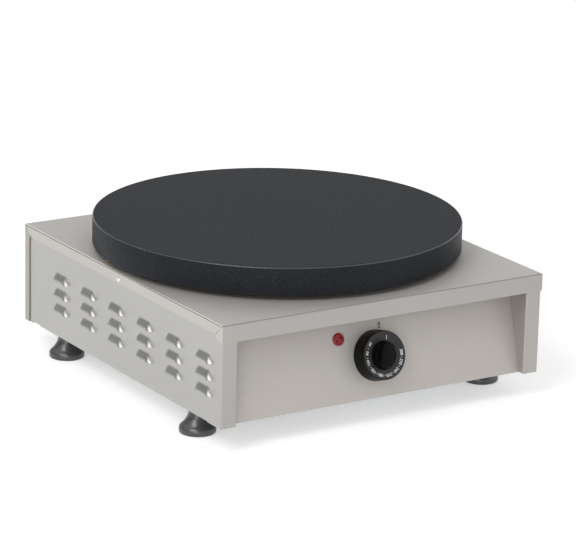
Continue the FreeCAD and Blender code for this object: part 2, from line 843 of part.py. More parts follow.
def thermostat_screws():
    """Two pan-head screws through the panel, hidden by the knob."""
    screws = []
    for sign in (-1, 1):
        x = sign * thermostat_pitch / 2.0
        shape = rod(thermostat_screw / 2.0, Vector(x, 0, -front_sheet - 8.0), Vector(x, 0, 0))
        shape = shape.fuse(rod(screw_head / 2.0, Vector(x, 0, 0), Vector(x, 0, 2.0)))
        screws.append(on_panel(shape, knob_x, knob_up))
    return Part.makeCompound(screws)


def shaft_form(low, high):
    """D-section of the shaft about Z; the flat runs over the part inside the knob."""
    shape = rod(shaft_diameter / 2.0, Vector(0, 0, low), Vector(0, 0, high))
    flat = shaft_diameter / 2.0 - shaft_flat
    return shape.cut(block(-shaft_diameter, shaft_diameter, flat, shaft_diameter, 2.0, high + 1))


def thermostat_shaft():
    """Shaft from inside the thermostat to the knob's hub."""
    low = -front_sheet - thermostat_depth + 4.4
    shape = shaft_form(low, knob_depth - 4.0)
    shape.rotate(Vector(0, 0, 0), Vector(0, 0, 1), -index_angle)
    return on_panel(shape, knob_x, knob_up)


def grip_wire(width, length, corner, z):
    """Rounded outline of the knob's grip."""
    x = width / 2.0
    y = length / 2.0
    k = corner * (1 - math.sqrt(0.5))
    points = [Vector(-x + corner, -y, z), Vector(x - corner, -y, z),
              (Vector(x - k, -y + k, z), Vector(x, -y + corner, z)), Vector(x, y - corner, z),
              (Vector(x - k, y - k, z), Vector(x - corner, y, z)), Vector(-x + corner, y, z),
              (Vector(-x + k, y - k, z), Vector(-x, y - corner, z)), Vector(-x, -y + corner, z),
              (Vector(-x + k, -y + k, z), Vector(-x + corner, -y, z))]
    return loop_wire(points)


def control_knob():
    """Moulded knob: dished skirt, numbered face, raised grip and a hub on the D-shaft."""
    skirt = knob_diameter / 2.0
    face = knob_face / 2.0
    low = knob_clearance
    inner = skirt - knob_wall
    roof = knob_depth - knob_wall
    r = knob_edge
    profile = [(0, low + 1.6), (knob_hub / 2.0, low + 1.6), (knob_hub / 2.0, roof), (inner - 1.0, roof),
               (inner, low), (skirt, low), (face, knob_depth - r),
               (face - r * 0.293, knob_depth - r * 0.293, face - r, knob_depth), (0, knob_depth)]
    shape = turned(profile)
    grip = Part.makeLoft([grip_wire(grip_width, grip_length, grip_corner, knob_depth - 0.5),
                          grip_wire(grip_width - grip_draft, grip_length - grip_draft, grip_corner - grip_draft / 2.0,
                                    knob_depth + grip_height)], True)
    shape = shape.fuse(grip).cut(shaft_form(0.0, knob_depth - 4.0)).removeSplitter()
    shape.rotate(Vector(0, 0, 0), Vector(0, 0, 1), -index_angle)
    return on_panel(shape, knob_x, knob_up)


def lamp_lens():
    """Red lens of the pilot lamp, seated on the panel."""
    r = lamp_lens_diameter / 2.0
    h = lamp_lens_height
    profile = [(0, 0), (r, 0), (r, h * 0.45), (r - 0.7, h * 0.85, r - 2.0, h), (0, h)]
    return on_panel(turned(profile), lamp_x, lamp_up)


def lamp_body():
    """Barrel of the pilot lamp with two blades at its back."""
    back = -front_sheet - lamp_length
    shape = rod(lamp_barrel / 2.0, Vector(0, 0, back), Vector(0, 0, 0))
    for sign in (-1, 1):
        middle = sign * lamp_blade_pitch / 2.0
        shape = shape.fuse(block(middle - blade_sheet / 2.0, middle + blade_sheet / 2.0, -lamp_blade_width / 2.0,
                                 lamp_blade_width / 2.0, back - lamp_blade, back + 1.0))
    return on_panel(shape, lamp_x, lamp_up)


def lamp_nut():
    """Push-on ring that holds the lamp from behind."""
    shape = rod(lamp_ring / 2.0, Vector(0, 0, -front_sheet - 1.5), Vector(0, 0, -front_sheet))
    shape = shape.cut(rod(lamp_barrel / 2.0, Vector(0, 0, -front_sheet - 3), Vector(0, 0, 1)))
    return on_panel(shape, lamp_x, lamp_up)


def foot():
    """Flared foot: rounded rim on the floor, concave flare and a narrow neck, moulded on its stud."""
    base = foot_base / 2.0
    neck = foot_neck / 2.0
    high = floor_gap - foot_lift
    flare = high - 7.0
    bow_r = neck + (base - neck) * 0.26
    bow_z = foot_rim + (flare - foot_rim) * 0.42
    profile = [(0, 0), (base - 2.0, 0), (base - 0.6, 0.6, base, 2.0), (base, foot_rim - 1.0),
               (base - 0.4, foot_rim - 0.3, base - 1.0, foot_rim), (bow_r, bow_z, neck, flare),
               (neck, high), (0, high)]
    shape = turned(profile)
    low = high - foot_engage
    return shape.cut(rod(foot_stud / 2.0, Vector(0, 0, low), Vector(0, 0, high + 1)))


def foot_stud_bar():
    """The stud moulded into a foot."""
    high = floor_gap - foot_lift
    return rod(foot_stud / 2.0, Vector(0, 0, high - foot_engage), Vector(0, 0, base_top + foot_stud_rise))


def foot_nuts():
    """Four nuts on the base plate in which the feet screw up and down."""
    hole = foot_stud + 2.0 * foot_clearance
    return Part.makeCompound([moved(nut(foot_nut_across, hole, base_top, base_top + foot_nut_height), x, y, 0)
                              for name, x, y in foot_places()])


def base_screws():
    """Pan-head screws up through the side flanges into the base plate, evenly between the feet."""
    screws = []
    first = front_y + foot_front
    pitch = (rear_y - foot_rear - first) / (base_screws_each_side + 1)
    for sign in (-1, 1):
        for i in range(base_screws_each_side):
            seat = Vector(0, 0, case_bottom)
            shape = rod(screw_head / 2.0, Vector(0, 0, case_bottom - base_screw_head), seat)
            shape = shape.fuse(rod(screw_thread / 2.0, seat, Vector(0, 0, base_top + base_screw_end)))
            screws.append(moved(shape, sign * (side_in - base_screw_inset), first + pitch * (i + 1), 0))
    return screws


def cable_gland():
    """Inlet gland through the rear wall, open for a round cable, with its thread inside."""
    dome = gland_hex / 2.0 - 1.0
    shape = hexagon(gland_hex, 0.0, gland_flange)
    profile = [(0, gland_flange), (dome, gland_flange), (dome, gland_reach - 6.0),
               (dome - 1.5, gland_reach - 1.5, dome - 5.0, gland_reach), (0, gland_reach)]
    shape = shape.fuse(turned(profile))
    shape = shape.fuse(rod(gland_thread / 2.0, Vector(0, 0, -gland_tail), Vector(0, 0, 0)))
    shape = shape.cut(rod(gland_bore / 2.0, Vector(0, 0, -gland_tail - 1), Vector(0, 0, gland_reach + 1)))
    return rear_facing(shape.removeSplitter())


def rear_facing(shape):
    """Place a shape made about Z so that Z stands out of the rear wall at the gland."""
    copy = shape.copy()
    copy.Placement = Placement(Vector(gland_x, rear_y, case_bottom + gland_up),
                               Rotation(Vector(1, 0, 0), -90)).multiply(copy.Placement)
    return copy


def gland_lock_nut():
    """Lock nut of the gland inside the case."""
    return rear_facing(nut(gland_hex, gland_thread, -rear_sheet - gland_nut, -rear_sheet))


def terminal_place(pole, side):
    """Bottom of a clamp hole in the terminal block; pole and side run from -1 to 1."""
    return Vector(gland_x + pole * block_length / 3.0, terminal_y + side * block_width * 0.27, terminal_z)


def terminal_block():
    """Three-way terminal block on the base plate near the inlet."""
    front = terminal_y - block_width / 2.0
    rear = terminal_y + block_width / 2.0
    shape = block(gland_x - block_length / 2.0, gland_x + block_length / 2.0, front, rear,
                  base_top, base_top + block_height * 0.5)
    half_pole = block_length / 3.0 * 0.36
    for pole in (-1, 0, 1):
        x = terminal_place(pole, 0).x
        shape = shape.fuse(block(x - half_pole, x + half_pole, front, rear, base_top, base_top + block_height))
        for side in (-1, 1):
            spot = terminal_place(pole, side)
            shape = shape.cut(rod(clamp_hole / 2.0, spot, spot.add(Vector(0, 0, clamp_depth + 2))))
    return shape.removeSplitter()


def earth_stud():
    """Earthing stud on the base plate."""
    foot_point = Vector(earth_x, rear_y - earth_setback, base_top)
    return rod(earth_thread / 2.0, foot_point, foot_point.add(Vector(0, 0, earth_height)))


def earth_nuts():
    """Two nuts on the earthing stud."""
    nuts = []
    for low in (base_top, base_top + earth_nut_height * 1.5):
        nuts.append(moved(nut(earth_nut_across, earth_thread, low, low + earth_nut_height),
                          earth_x, rear_y - earth_setback, 0))
    return Part.makeCompound(nuts)


def blade_run(x, up, out):
    """The tip of a blade behind the panel and a point straight behind it, where a lead may turn."""
    return panel_point(x, up, out), panel_point(x, up, out - blade_lead)


def internal_leads():
    """Six insulated leads: live, switched, neutral, two for the lamp, and earth."""
    outer_tail, inner_tail = tail_places()
    tail_low = case_top - tail_drop
    blade_tip = -front_sheet - thermostat_depth - thermostat_blade
    lamp_tip = -front_sheet - lamp_length - lamp_blade
    routes = []

    def level(point, z):
        return Vector(point.x, point.y, z)

    start = terminal_place(-1, -1)
    tip, behind = blade_run(knob_x - blade_pitch / 2.0, knob_up, blade_tip)
    z = base_top + live_level
    crossing = behind.y + live_crossing
    routes.append([start, level(start, z), Vector(start.x, crossing, z), Vector(tip.x, crossing, z), behind, tip])

    tip, behind = blade_run(knob_x + blade_pitch / 2.0, knob_up, blade_tip)
    end = level(inner_tail, tail_low).add(Vector(lead_spread, 0, 0))
    routes.append([tip, behind, level(end, behind.z), end])

    start = terminal_place(0, -1)
    end = level(outer_tail, tail_low).add(Vector(lead_spread, 0, 0))
    z = base_top + neutral_level
    routes.append([start, level(start, z), Vector(start.x, end.y, z), level(end, z), end])

    for sign, tail in ((-1, inner_tail), (1, outer_tail)):
        tip, behind = blade_run(lamp_x + sign * lamp_blade_pitch / 2.0, lamp_up, lamp_tip)
        end = level(tail, tail_low).add(Vector(-lead_spread, 0, 0))
        routes.append([tip, behind, level(end, tail_low - lamp_level), end])

    start = terminal_place(1, -1)
    end = Vector(earth_x, rear_y - earth_setback, base_top + earth_height)
    z = end.z + earth_rise
    front = start.y - earth_run
    routes.append([start, level(start, z), Vector(start.x, front, z), Vector(end.x, front, z), level(end, z), end])
    return Part.makeCompound([bent_tube(route, lead_bend, lead_diameter) for route in routes])


def main_parts():
    """Every node with its solid or group of solids."""
    screws = base_screws()
    holes = Part.makeCompound([screw.copy() for screw in screws])
    right_side = right_side_panel().cut(holes)
    left_side = mirrored(right_side_panel()).cut(holes)
    parts = {
        "crepe_plate": crepe_plate(), "top_cover": top_cover(),
        "right_side_panel": right_side, "left_side_panel": left_side,
        "rear_panel": rear_panel(), "front_panel": front_panel(), "base_plate": base_plate().cut(holes),
        "plate_standoffs": plate_standoffs(), "plate_studs": plate_studs(),
        "plate_nuts": plate_nuts(), "left_support_bar": support_bar(-1),
        "right_support_bar": support_bar(1), "front_support_bars": front_support_bars(),
        "side_screws": side_screws(), "internal_leads": internal_leads(),
        "heating_element": heating_element(), "element_retainer": element_retainer(),
        "element_stud": element_stud(), "element_nut": element_nut(),
        "insulation_disc": insulation_disc(), "heat_shield": heat_shield(),
        "sensor_bulb": sensor_bulb(), "bulb_clip": bulb_clip(), "capillary_tube": capillary_tube(),
        "thermostat_body": thermostat_body(), "thermostat_screws": thermostat_screws(),
        "thermostat_shaft": thermostat_shaft(), "control_knob": control_knob(),
        "lamp_lens": lamp_lens(), "lamp_body": lamp_body(), "lamp_nut": lamp_nut(),
        "foot_nuts": foot_nuts(), "base_screws": Part.makeCompound(screws),
        "cable_gland": cable_gland(), "gland_nut": gland_lock_nut(),
        "terminal_block": terminal_block(), "earth_stud": earth_stud(), "earth_nuts": earth_nuts(),
    }
    for name, x, y in foot_places():
        parts["foot_" + name] = moved(foot(), x, y, 0)
        parts["foot_stud_" + name] = moved(foot_stud_bar(), x, y, 0)
    return parts


if __name__ == "__main__":
    os.makedirs("parts", exist_ok=True)
    for name, shape in main_parts().items():
        print(name, len(shape.Solids), round(shape.Volume, 1), shape.isValid())
        shape.exportStep("parts/" + name + ".step")
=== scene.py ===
"""Electric crepe maker with a round cast-iron plate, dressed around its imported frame. Metres, +Z up."""
import json
from math import cos, hypot, pi, radians, sin

import bmesh
import bpy
from mathutils import Matrix, Vector


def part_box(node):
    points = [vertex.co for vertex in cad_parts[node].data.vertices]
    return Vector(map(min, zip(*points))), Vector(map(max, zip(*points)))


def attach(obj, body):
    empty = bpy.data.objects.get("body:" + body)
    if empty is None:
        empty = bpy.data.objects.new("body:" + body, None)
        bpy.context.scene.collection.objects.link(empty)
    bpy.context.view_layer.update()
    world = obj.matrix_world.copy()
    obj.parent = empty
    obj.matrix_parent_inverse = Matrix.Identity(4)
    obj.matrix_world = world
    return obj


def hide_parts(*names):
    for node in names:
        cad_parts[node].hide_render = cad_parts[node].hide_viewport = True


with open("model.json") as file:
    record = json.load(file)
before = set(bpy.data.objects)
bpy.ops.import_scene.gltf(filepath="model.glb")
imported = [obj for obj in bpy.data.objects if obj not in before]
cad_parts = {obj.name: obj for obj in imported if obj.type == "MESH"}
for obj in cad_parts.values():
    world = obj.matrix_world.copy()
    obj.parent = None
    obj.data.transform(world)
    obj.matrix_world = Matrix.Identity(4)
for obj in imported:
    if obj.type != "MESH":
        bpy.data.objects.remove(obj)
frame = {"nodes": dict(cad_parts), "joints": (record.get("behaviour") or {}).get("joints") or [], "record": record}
nodes = frame["nodes"]
scene = bpy.context.scene
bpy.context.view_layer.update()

# Studio: a white sweep, lit by a high, a low and a side soft box at the left and a weak one at the right.
# The camera stands low at the front left, at the angle of a catalogue picture, with a long lens.
# A dark curtain hangs behind at the left, which only polished metal shows, and paper has no gloss.


def linear(code):
    """A colour written as an sRGB hex value, as the linear value that a shader takes."""
    parts = [int(code[i:i + 2], 16) / 255.0 for i in (1, 3, 5)]
    return tuple(c / 12.92 if c <= 0.04045 else ((c + 0.055) / 1.055) ** 2.4 for c in parts) + (1.0,)


def add(tree, kind, settings=None, sockets=None):
    """Add one node, set its settings, and give its sockets values or another node's output."""
    made = tree.nodes.new(kind)
    for name, value in (settings or {}).items():
        setattr(made, name, value)
    for key, value in (sockets or {}).items():
        if isinstance(value, bpy.types.NodeSocket):
            tree.links.new(value, made.inputs[key])
        else:
            made.inputs[key].default_value = value
    return made


def new_material(name):
    """An empty node material and its tree."""
    material = bpy.data.materials.new(name)
    material.use_nodes = True
    material.node_tree.nodes.clear()
    return material, material.node_tree


scene.view_settings.view_transform = "Standard"
plate_low, plate_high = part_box("crepe_plate")
aim_up = 0.069
aim = Vector((0.0, (plate_low.y + plate_high.y) / 2, aim_up))
azimuth = radians(-32.5578)
elevation = radians(16.6849)
roll = radians(1.4525)
distance = 3.5455
side_step = 0.01384
up_step = 0.03667
back = Vector((sin(azimuth) * cos(elevation), -cos(azimuth) * cos(elevation), sin(elevation)))
level = Vector((cos(azimuth), sin(azimuth), 0.0))
upright = back.cross(level)
across = level * cos(roll) + upright * sin(roll)
above = upright * cos(roll) - level * sin(roll)
camera = bpy.data.objects.new("camera", bpy.data.cameras.new("camera"))
camera.data.sensor_width = 36.0
camera.data.lens = 203.2
camera.data.clip_end = 50.0
camera.matrix_world = Matrix.Translation(aim + back * distance + across * side_step + above * up_step) @ \
    Matrix((across, above, back)).transposed().to_4x4()
scene.collection.objects.link(camera)
scene.camera = camera

world = bpy.data.worlds.new("studio")
world.use_nodes = True
world.node_tree.nodes.clear()
room_light = 0.55
dark_curtain = 0.22
room = world.node_tree
path = add(room, "ShaderNodeLightPath")
seen_from = add(room, "ShaderNodeTexCoord")
toward = add(room, "ShaderNodeSeparateXYZ", None, {0: seen_from.outputs["Generated"]})
shade = 1.0
for axis, still_bright, fully_dark in (("Z", 0.04, 0.26), ("Z", 0.5, 0.4), ("X", 0.35, -0.35)):
    edge = add(room, "ShaderNodeMapRange", {"interpolation_type": "SMOOTHSTEP"},
               {"Value": toward.outputs[axis], "From Min": still_bright, "From Max": fully_dark})
    shade = add(room, "ShaderNodeMath", {"operation": "MULTIPLY"}, {0: shade, 1: edge.outputs[0]}).outputs[0]
mirrored = add(room, "ShaderNodeMapRange", None, {"Value": shade, "To Min": 1.0, "To Max": dark_curtain})
shiny = add(room, "ShaderNodeMath", {"operation": "MAXIMUM"},
            {0: path.outputs["Is Glossy Ray"], 1: path.outputs["Is Transmission Ray"]})
unseen = add(room, "ShaderNodeMix", None, {0: shiny.outputs[0], 2: room_light, 3: mirrored.outputs[0]})
strength = add(room, "ShaderNodeMix", None, {0: path.outputs["Is Camera Ray"], 2: unseen.outputs[0], 3: 1.0})
sky = add(room, "ShaderNodeBackground", None,
          {"Color": (1.0, 1.0, 1.0, 1.0), "Strength": strength.outputs[0]})
add(room, "ShaderNodeOutputWorld", None, {"Surface": sky.outputs[0]})
scene.world = world

for name, place, size, power in (("soft_box_high", Vector((-2.6, -1.2, 2.9)), 1.8, 46.0),
                                 ("soft_box_low", Vector((-2.2, -2.6, 0.6)), 1.6, 24.0),
                                 ("soft_box_side", Vector((-2.4, -1.5, 1.0)), 2.0, 5.0),
                                 ("soft_box_right", Vector((2.4, -2.2, 1.8)), 1.4, 2.5)):
    lamp = bpy.data.objects.new(name, bpy.data.lights.new(name, "AREA"))
    lamp.data.size = size
    lamp.data.energy = power
    lamp.location = place
    lamp.rotation_euler = (aim - place).to_track_quat("-Z", "Y").to_euler()
    scene.collection.objects.link(lamp)

sweep_half = 14.0
paper_lift = 0.42
sweep_material, tree = new_material("white_paper")
path = add(tree, "ShaderNodeLightPath")
seen = add(tree, "ShaderNodeMath", {"operation": "MAXIMUM"},
           {0: path.outputs["Is Camera Ray"], 1: path.outputs["Is Glossy Ray"]})
paper = add(tree, "ShaderNodeBsdfDiffuse", None, {"Color": linear("#f4f4f4")})
lift = add(tree, "ShaderNodeMath", {"operation": "MULTIPLY"}, {0: seen.outputs[0], 1: paper_lift})
glow = add(tree, "ShaderNodeEmission", None, {"Strength": lift.outputs[0]})
both = add(tree, "ShaderNodeAddShader", None, {0: paper.outputs[0], 1: glow.outputs[0]})
add(tree, "ShaderNodeOutputMaterial", None, {"Surface": both.outputs[0]})
mesh = bpy.data.meshes.new("sweep")
mesh.from_pydata([(sweep_half * x, sweep_half * y, 0) for x, y in ((-1, -1), (1, -1), (1, 1), (-1, 1))],
                 [], [(0, 1, 2, 3)])
mesh.materials.append(sweep_material)
sweep = bpy.data.objects.new("sweep", mesh)
scene.collection.objects.link(sweep)

# Feet: four flared feet moulded in black rubber on a zinc-plated stud that screws up into the case.
# Each is turned to one profile: a rounded rim on the table, a hollow flare and a narrow neck.
# Moulded rubber has a soft satin gloss with fine pitting.


def mottled(name, code, roughness, grain_mm, depth_mm, spread, metallic=0.0, shift=0.06, gloss=0.5):
    """A satin surface: one colour with slight drift, a fine even grain and a matching bump."""
    material, tree = new_material(name)
    drifts_per_metre = 18.0
    where = add(tree, "ShaderNodeTexCoord").outputs["Object"]
    grain = add(tree, "ShaderNodeTexNoise", None,
                {"Vector": where, "Scale": 1000.0 / grain_mm, "Detail": 3.0})
    drift = add(tree, "ShaderNodeTexNoise", None, {"Vector": where, "Scale": drifts_per_metre, "Detail": 2.0})
    tone = add(tree, "ShaderNodeMath", {"operation": "ADD"},
               {0: grain.outputs["Fac"], 1: drift.outputs["Fac"]})
    light, rough = [add(tree, "ShaderNodeMapRange", None, {
        "Value": tone.outputs[0], "From Min": 0.6, "From Max": 1.4, "To Min": middle - reach,
        "To Max": middle + reach}) for middle, reach in ((1.0, shift), (roughness, spread))]
    colour = add(tree, "ShaderNodeVectorMath", {"operation": "SCALE"},
                 {0: linear(code)[:3], "Scale": light.outputs[0]})
    bump = add(tree, "ShaderNodeBump", None,
               {"Height": grain.outputs["Fac"], "Strength": 0.5, "Distance": depth_mm / 1000.0})
    shader = add(tree, "ShaderNodeBsdfPrincipled", None,
                 {"Base Color": colour.outputs[0], "Roughness": rough.outputs[0],
                  "Metallic": metallic, "Specular IOR Level": gloss, "Normal": bump.outputs[0]})
    add(tree, "ShaderNodeOutputMaterial", None, {"Surface": shader.outputs[0]})
    return material


def arc(middle, radius, start, end, steps):
    """Points on an arc in a plane, from one angle to another in degrees."""
    turns = [radians(start + (end - start) * i / steps) for i in range(steps + 1)]
    return [(middle[0] + radius * cos(t), middle[1] + radius * sin(t)) for t in turns]


def turned(profile, steps, centre):
    """A closed surface of revolution about an upright axis, from (radius, height) points."""
    form = bmesh.new()
    rings = []
    for r, z in profile:
        count = steps if r > 1e-7 else 1
        rings.append([form.verts.new(centre + Vector((r * cos(2 * pi * i / steps),
                                                      r * sin(2 * pi * i / steps), z)))
                      for i in range(count)])
    for low, high in zip(rings, rings[1:]):
        for i in range(steps):
            j = (i + 1) % steps
            corners = [low[i % len(low)], low[j % len(low)], high[j % len(high)], high[i % len(high)]]
            form.faces.new(list(dict.fromkeys(corners)))
    return form


def as_mesh(name, form):
    """Turn a bmesh into a mesh and let the bmesh go."""
    mesh = bpy.data.meshes.new(name)
    form.to_mesh(mesh)
    form.free()
    return mesh


def opened(mesh):
    """A bmesh with what a mesh holds."""
    form = bmesh.new()
    form.from_mesh(mesh)
    return form


def piece(name, form, material, smooth=True, sharp=35.0):
    """Keep a bmesh as a named object with one material, its shading split at sharp edges."""
    bmesh.ops.recalc_face_normals(form, faces=form.faces)
    mesh = as_mesh(name, form)
    mesh.materials.append(material)
    if smooth:
        mesh.shade_smooth()
        mesh.set_sharp_from_angle(angle=radians(sharp))
    made = bpy.data.objects.new(name, mesh)
    scene.collection.objects.link(made)
    return made


def keep(made, body, slot, *replaced):
    """Seat a finished piece on its body and hide the nodes that it stands for; its finish slot is not used."""
    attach(made, body)
    if replaced:
        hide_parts(*replaced)


def bow(a, b, c, d, steps):
    """Points after the first on a smooth curve from a to d, led by b and c."""
    points = []
    for i in range(1, steps + 1):
        t = i / steps
        weights = ((1 - t) ** 3, 3 * t * (1 - t) ** 2, 3 * t * t * (1 - t), t ** 3)
        points.append(tuple(sum(w * p[k] for w, p in zip(weights, (a, b, c, d))) for k in (0, 1)))
    return points


foot_rubber = mottled("moulded_rubber", "#2a2e2d", 0.33, 0.8, 0.03, 0.05, gloss=1.0)
foot_edge = 0.002
sole_groove = 0.0012
neck_edge = 0.0006
for name in ("front_left", "front_right", "rear_left", "rear_right"):
    low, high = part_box("foot_" + name)
    base = (high.x - low.x) / 2
    tall = high.z - low.z
    neck = base * 0.487
    shoulder = (base, 0.0045)
    slope = (base * 0.76, 0.0112)
    waist = (neck, tall * 0.86)
    profile = [(0.0, sole_groove), (base * 0.34, sole_groove), (base * 0.36, 0.0), (base * 0.62, 0.0),
               (base * 0.64, sole_groove), (base * 0.80, sole_groove), (base * 0.82, 0.0)]
    profile += arc((base - foot_edge, foot_edge), foot_edge, -90, 0, 5)
    profile += bow((base, foot_edge), (base, 0.003), (base, 0.004), shoulder, 2)
    profile += bow(shoulder, (base, 0.0078), (base * 0.86, 0.0086), slope, 8)
    profile += bow(slope, (base * 0.62, 0.0150), (neck * 1.03, 0.0185), waist, 12)
    profile += [(neck, tall - neck_edge), (neck - neck_edge, tall), (0.0, tall)]
    form = turned(profile, 72, Vector(((low.x + high.x) / 2, (low.y + high.y) / 2, low.z)))
    keep(piece("foot_" + name + "_rubber", form, foot_rubber), "foot_" + name, "foot_black", "foot_" + name)

# Side panels: each is one sheet of brushed stainless, folded at the front into a post with a
# tapered return, and at the bottom into a flange that carries the base. Eighteen louvres are
# lanced and pressed outwards in it, three rows of six, each with a rounded hood open downwards.


def stainless(name, code, grain_axis, roughness=0.36, metallic=1.0):
    """Sheet with a ground finish: fine lines along one axis over a slow drift in brightness.

    Real grinding lines are a tenth of a millimetre apart, and are drawn coarser so that they show.
    """
    material, tree = new_material(name)
    line_mm = 1.1
    run_mm = 60.0
    drifts_per_metre = 7.0
    shift = 0.015
    spread = 0.05
    scale = [1000.0 / line_mm] * 3
    scale[grain_axis] = 1000.0 / run_mm
    where = add(tree, "ShaderNodeTexCoord").outputs["Object"]
    lay = add(tree, "ShaderNodeMapping", None, {"Vector": where, "Scale": scale})
    lines = add(tree, "ShaderNodeTexNoise", None,
                {"Vector": lay.outputs[0], "Scale": 1.0, "Detail": 4.0, "Roughness": 0.65})
    drift = add(tree, "ShaderNodeTexNoise", None, {"Vector": where, "Scale": drifts_per_metre, "Detail": 1.0})
    fine, slow, rough = [add(tree, "ShaderNodeMapRange", None, {
        "Value": source.outputs["Fac"], "From Min": low, "From Max": 1.0 - low, "To Min": middle - reach,
        "To Max": middle + reach}) for source, low, middle, reach in (
            (lines, 0.3, 1.0, shift), (drift, 0.35, 1.0, shift), (lines, 0.3, roughness, spread))]
    light = add(tree, "ShaderNodeMath", {"operation": "MULTIPLY"}, {0: fine.outputs[0], 1: slow.outputs[0]})
    colour = add(tree, "ShaderNodeVectorMath", {"operation": "SCALE"},
                 {0: linear(code)[:3], "Scale": light.outputs[0]})
    bump = add(tree, "ShaderNodeBump", None,
               {"Height": lines.outputs["Fac"], "Strength": 0.12, "Distance": 0.00002})
    shader = add(tree, "ShaderNodeBsdfPrincipled", None,
                 {"Base Color": colour.outputs[0], "Roughness": rough.outputs[0],
                  "Metallic": metallic, "Normal": bump.outputs[0]})
    add(tree, "ShaderNodeOutputMaterial", None, {"Surface": shader.outputs[0]})
    return material


def weave(form, rows):
    """Quads between rows of points that all have the same count."""
    lines = [[form.verts.new(p) for p in row] for row in rows]
    for low, high in zip(lines, lines[1:]):
        for i in range(len(low) - 1):
            form.faces.new((low[i], low[i + 1], high[i + 1], high[i]))


def soft_min(a, b, blend):
    """The smaller of two heights, rounded where they meet within the blend."""
    near = max(blend - abs(a - b), 0.0) / blend
    return min(a, b) - near * near * blend / 4.0


def soft_max(a, b, blend):
    """The larger of two heights, rounded where they meet within the blend."""
    return -soft_min(-a, -b, blend)


def spaced(start, end, count):
    """Evenly spaced values, both ends included."""
    return [start + (end - start) * i / count for i in range(count + 1)]


def evaluated(made):
    """What an object's modifiers, or its text, make of it, as a plain mesh."""
    graph = bpy.context.evaluated_depsgraph_get()
    return bpy.data.meshes.new_from_object(made.evaluated_get(graph), depsgraph=graph)


def grown(name, tree, values, start):
    """Run a geometry tree on a mesh and keep what it makes as a plain mesh object."""
    made = bpy.data.objects.new(name, start)
    scene.collection.objects.link(made)
    run = made.modifiers.new("build", "NODES")
    run.node_group = tree
    for item in tree.interface.items_tree:
        if item.in_out == "INPUT" and item.name in values:
            run[item.identifier] = values[item.name]
    plain = evaluated(made)
    made.modifiers.remove(run)
    made.data = plain
    return made


def new_tree(name, inputs):
    """A geometry tree with named inputs and its two end nodes."""
    tree = bpy.data.node_groups.new(name, "GeometryNodeTree")
    tree.interface.new_socket("Geometry", in_out="INPUT", socket_type="NodeSocketGeometry")
    tree.interface.new_socket("Geometry", in_out="OUTPUT", socket_type="NodeSocketGeometry")
    for label, kind in inputs:
        tree.interface.new_socket(label, in_out="INPUT", socket_type="NodeSocket" + kind)
    return tree, add(tree, "NodeGroupInput"), add(tree, "NodeGroupOutput")


def finish_sheet(made, thickness, edge, even=True):
    """Give a folded skin its thickness inwards and break its cut edges."""
    wall = made.modifiers.new("wall", "SOLIDIFY")
    wall.thickness = thickness
    wall.offset = -1.0
    wall.use_even_offset = even
    if edge:
        burr = made.modifiers.new("burr", "BEVEL")
        burr.width = edge
        burr.segments = 2
        burr.limit_method = "ANGLE"
        burr.angle_limit = radians(60)
    plain = evaluated(made)
    made.modifiers.clear()
    made.data = plain
    plain.shade_smooth()
    plain.set_sharp_from_angle(angle=radians(38))


def refinish(made, material, chosen):
    """Give the faces that a rule picks, by their middle and normal, another finish."""
    made.data.materials.append(material)
    last = len(made.data.materials) - 1
    for face in made.data.polygons:
        if chosen(face.center, face.normal):
            face.material_index = last


sheet = 0.001
bend = 0.0015
fold_steps = 6
cover_low, cover_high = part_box("top_cover")
side_low, side_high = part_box("right_side_panel")
louvre_columns = 6
louvre_rows = 3
louvre_pitch = 0.0608
row_pitch = 0.0174
fold_half = 0.0105
lip_half = 0.0172
louvre_height = 0.0094
louvre_depth = 0.0045
louvre_brow = 0.0014
louvre_top = 0.1026
louvre_shift = -0.0235
cheek_slope = 0.95
post_face = 0.0185
return_low = 0.007
return_high = 0.0175
post_band = 0.019
post_inside = 0.002
flange_width = 0.032
flange_from_post = 0.028
flange_from_rear = 0.018
side_x = side_high.x - louvre_depth
case_y = (cover_low.y + cover_high.y) / 2
field_y = case_y + louvre_shift
first_lip = louvre_top - louvre_height


def louvre_swell(y, z):
    """How far the hood stands out at a place over its lip."""
    slope = (louvre_height - z) * louvre_depth / (louvre_height - louvre_brow)
    half = lip_half + (fold_half - lip_half) * z / louvre_height
    cheek = (half - abs(y)) * cheek_slope
    return soft_max(soft_min(soft_min(slope, louvre_depth, 0.0010), cheek, 0.0020), 0.0, 0.0008)


half_lines = [0.0, 0.0035, 0.0055, 0.0068, 0.0078, 0.0086, 0.0093, 0.0100, 0.0107, 0.0115, 0.0124, 0.0134,
              0.0144, 0.0154, 0.0163, 0.0171, 0.0179, 0.0205, louvre_pitch / 2]
cell_ys = [-y for y in half_lines[:0:-1]] + half_lines
under_lip = (row_pitch - louvre_height) / 2
over_lip = row_pitch - under_lip
lower_zs = [-under_lip, -0.0015, 0.0]
hood_zs = [0.0, 0.0005, 0.0009, 0.0012, 0.0015, 0.0019, 0.0026, 0.0038, 0.0052, 0.0066, 0.0078, 0.0086,
           0.0091, 0.0095, 0.0100, over_lip]
cell = bmesh.new()
weave(cell, [[(0.0, y, z) for y in cell_ys] for z in lower_zs])
weave(cell, [[(louvre_swell(y, z), y, z) for y in cell_ys] for z in hood_zs])
bmesh.ops.remove_doubles(cell, verts=cell.verts, dist=1e-6)
louvre_cell = bpy.data.objects.new("louvre_cell", as_mesh("louvre_cell", cell))

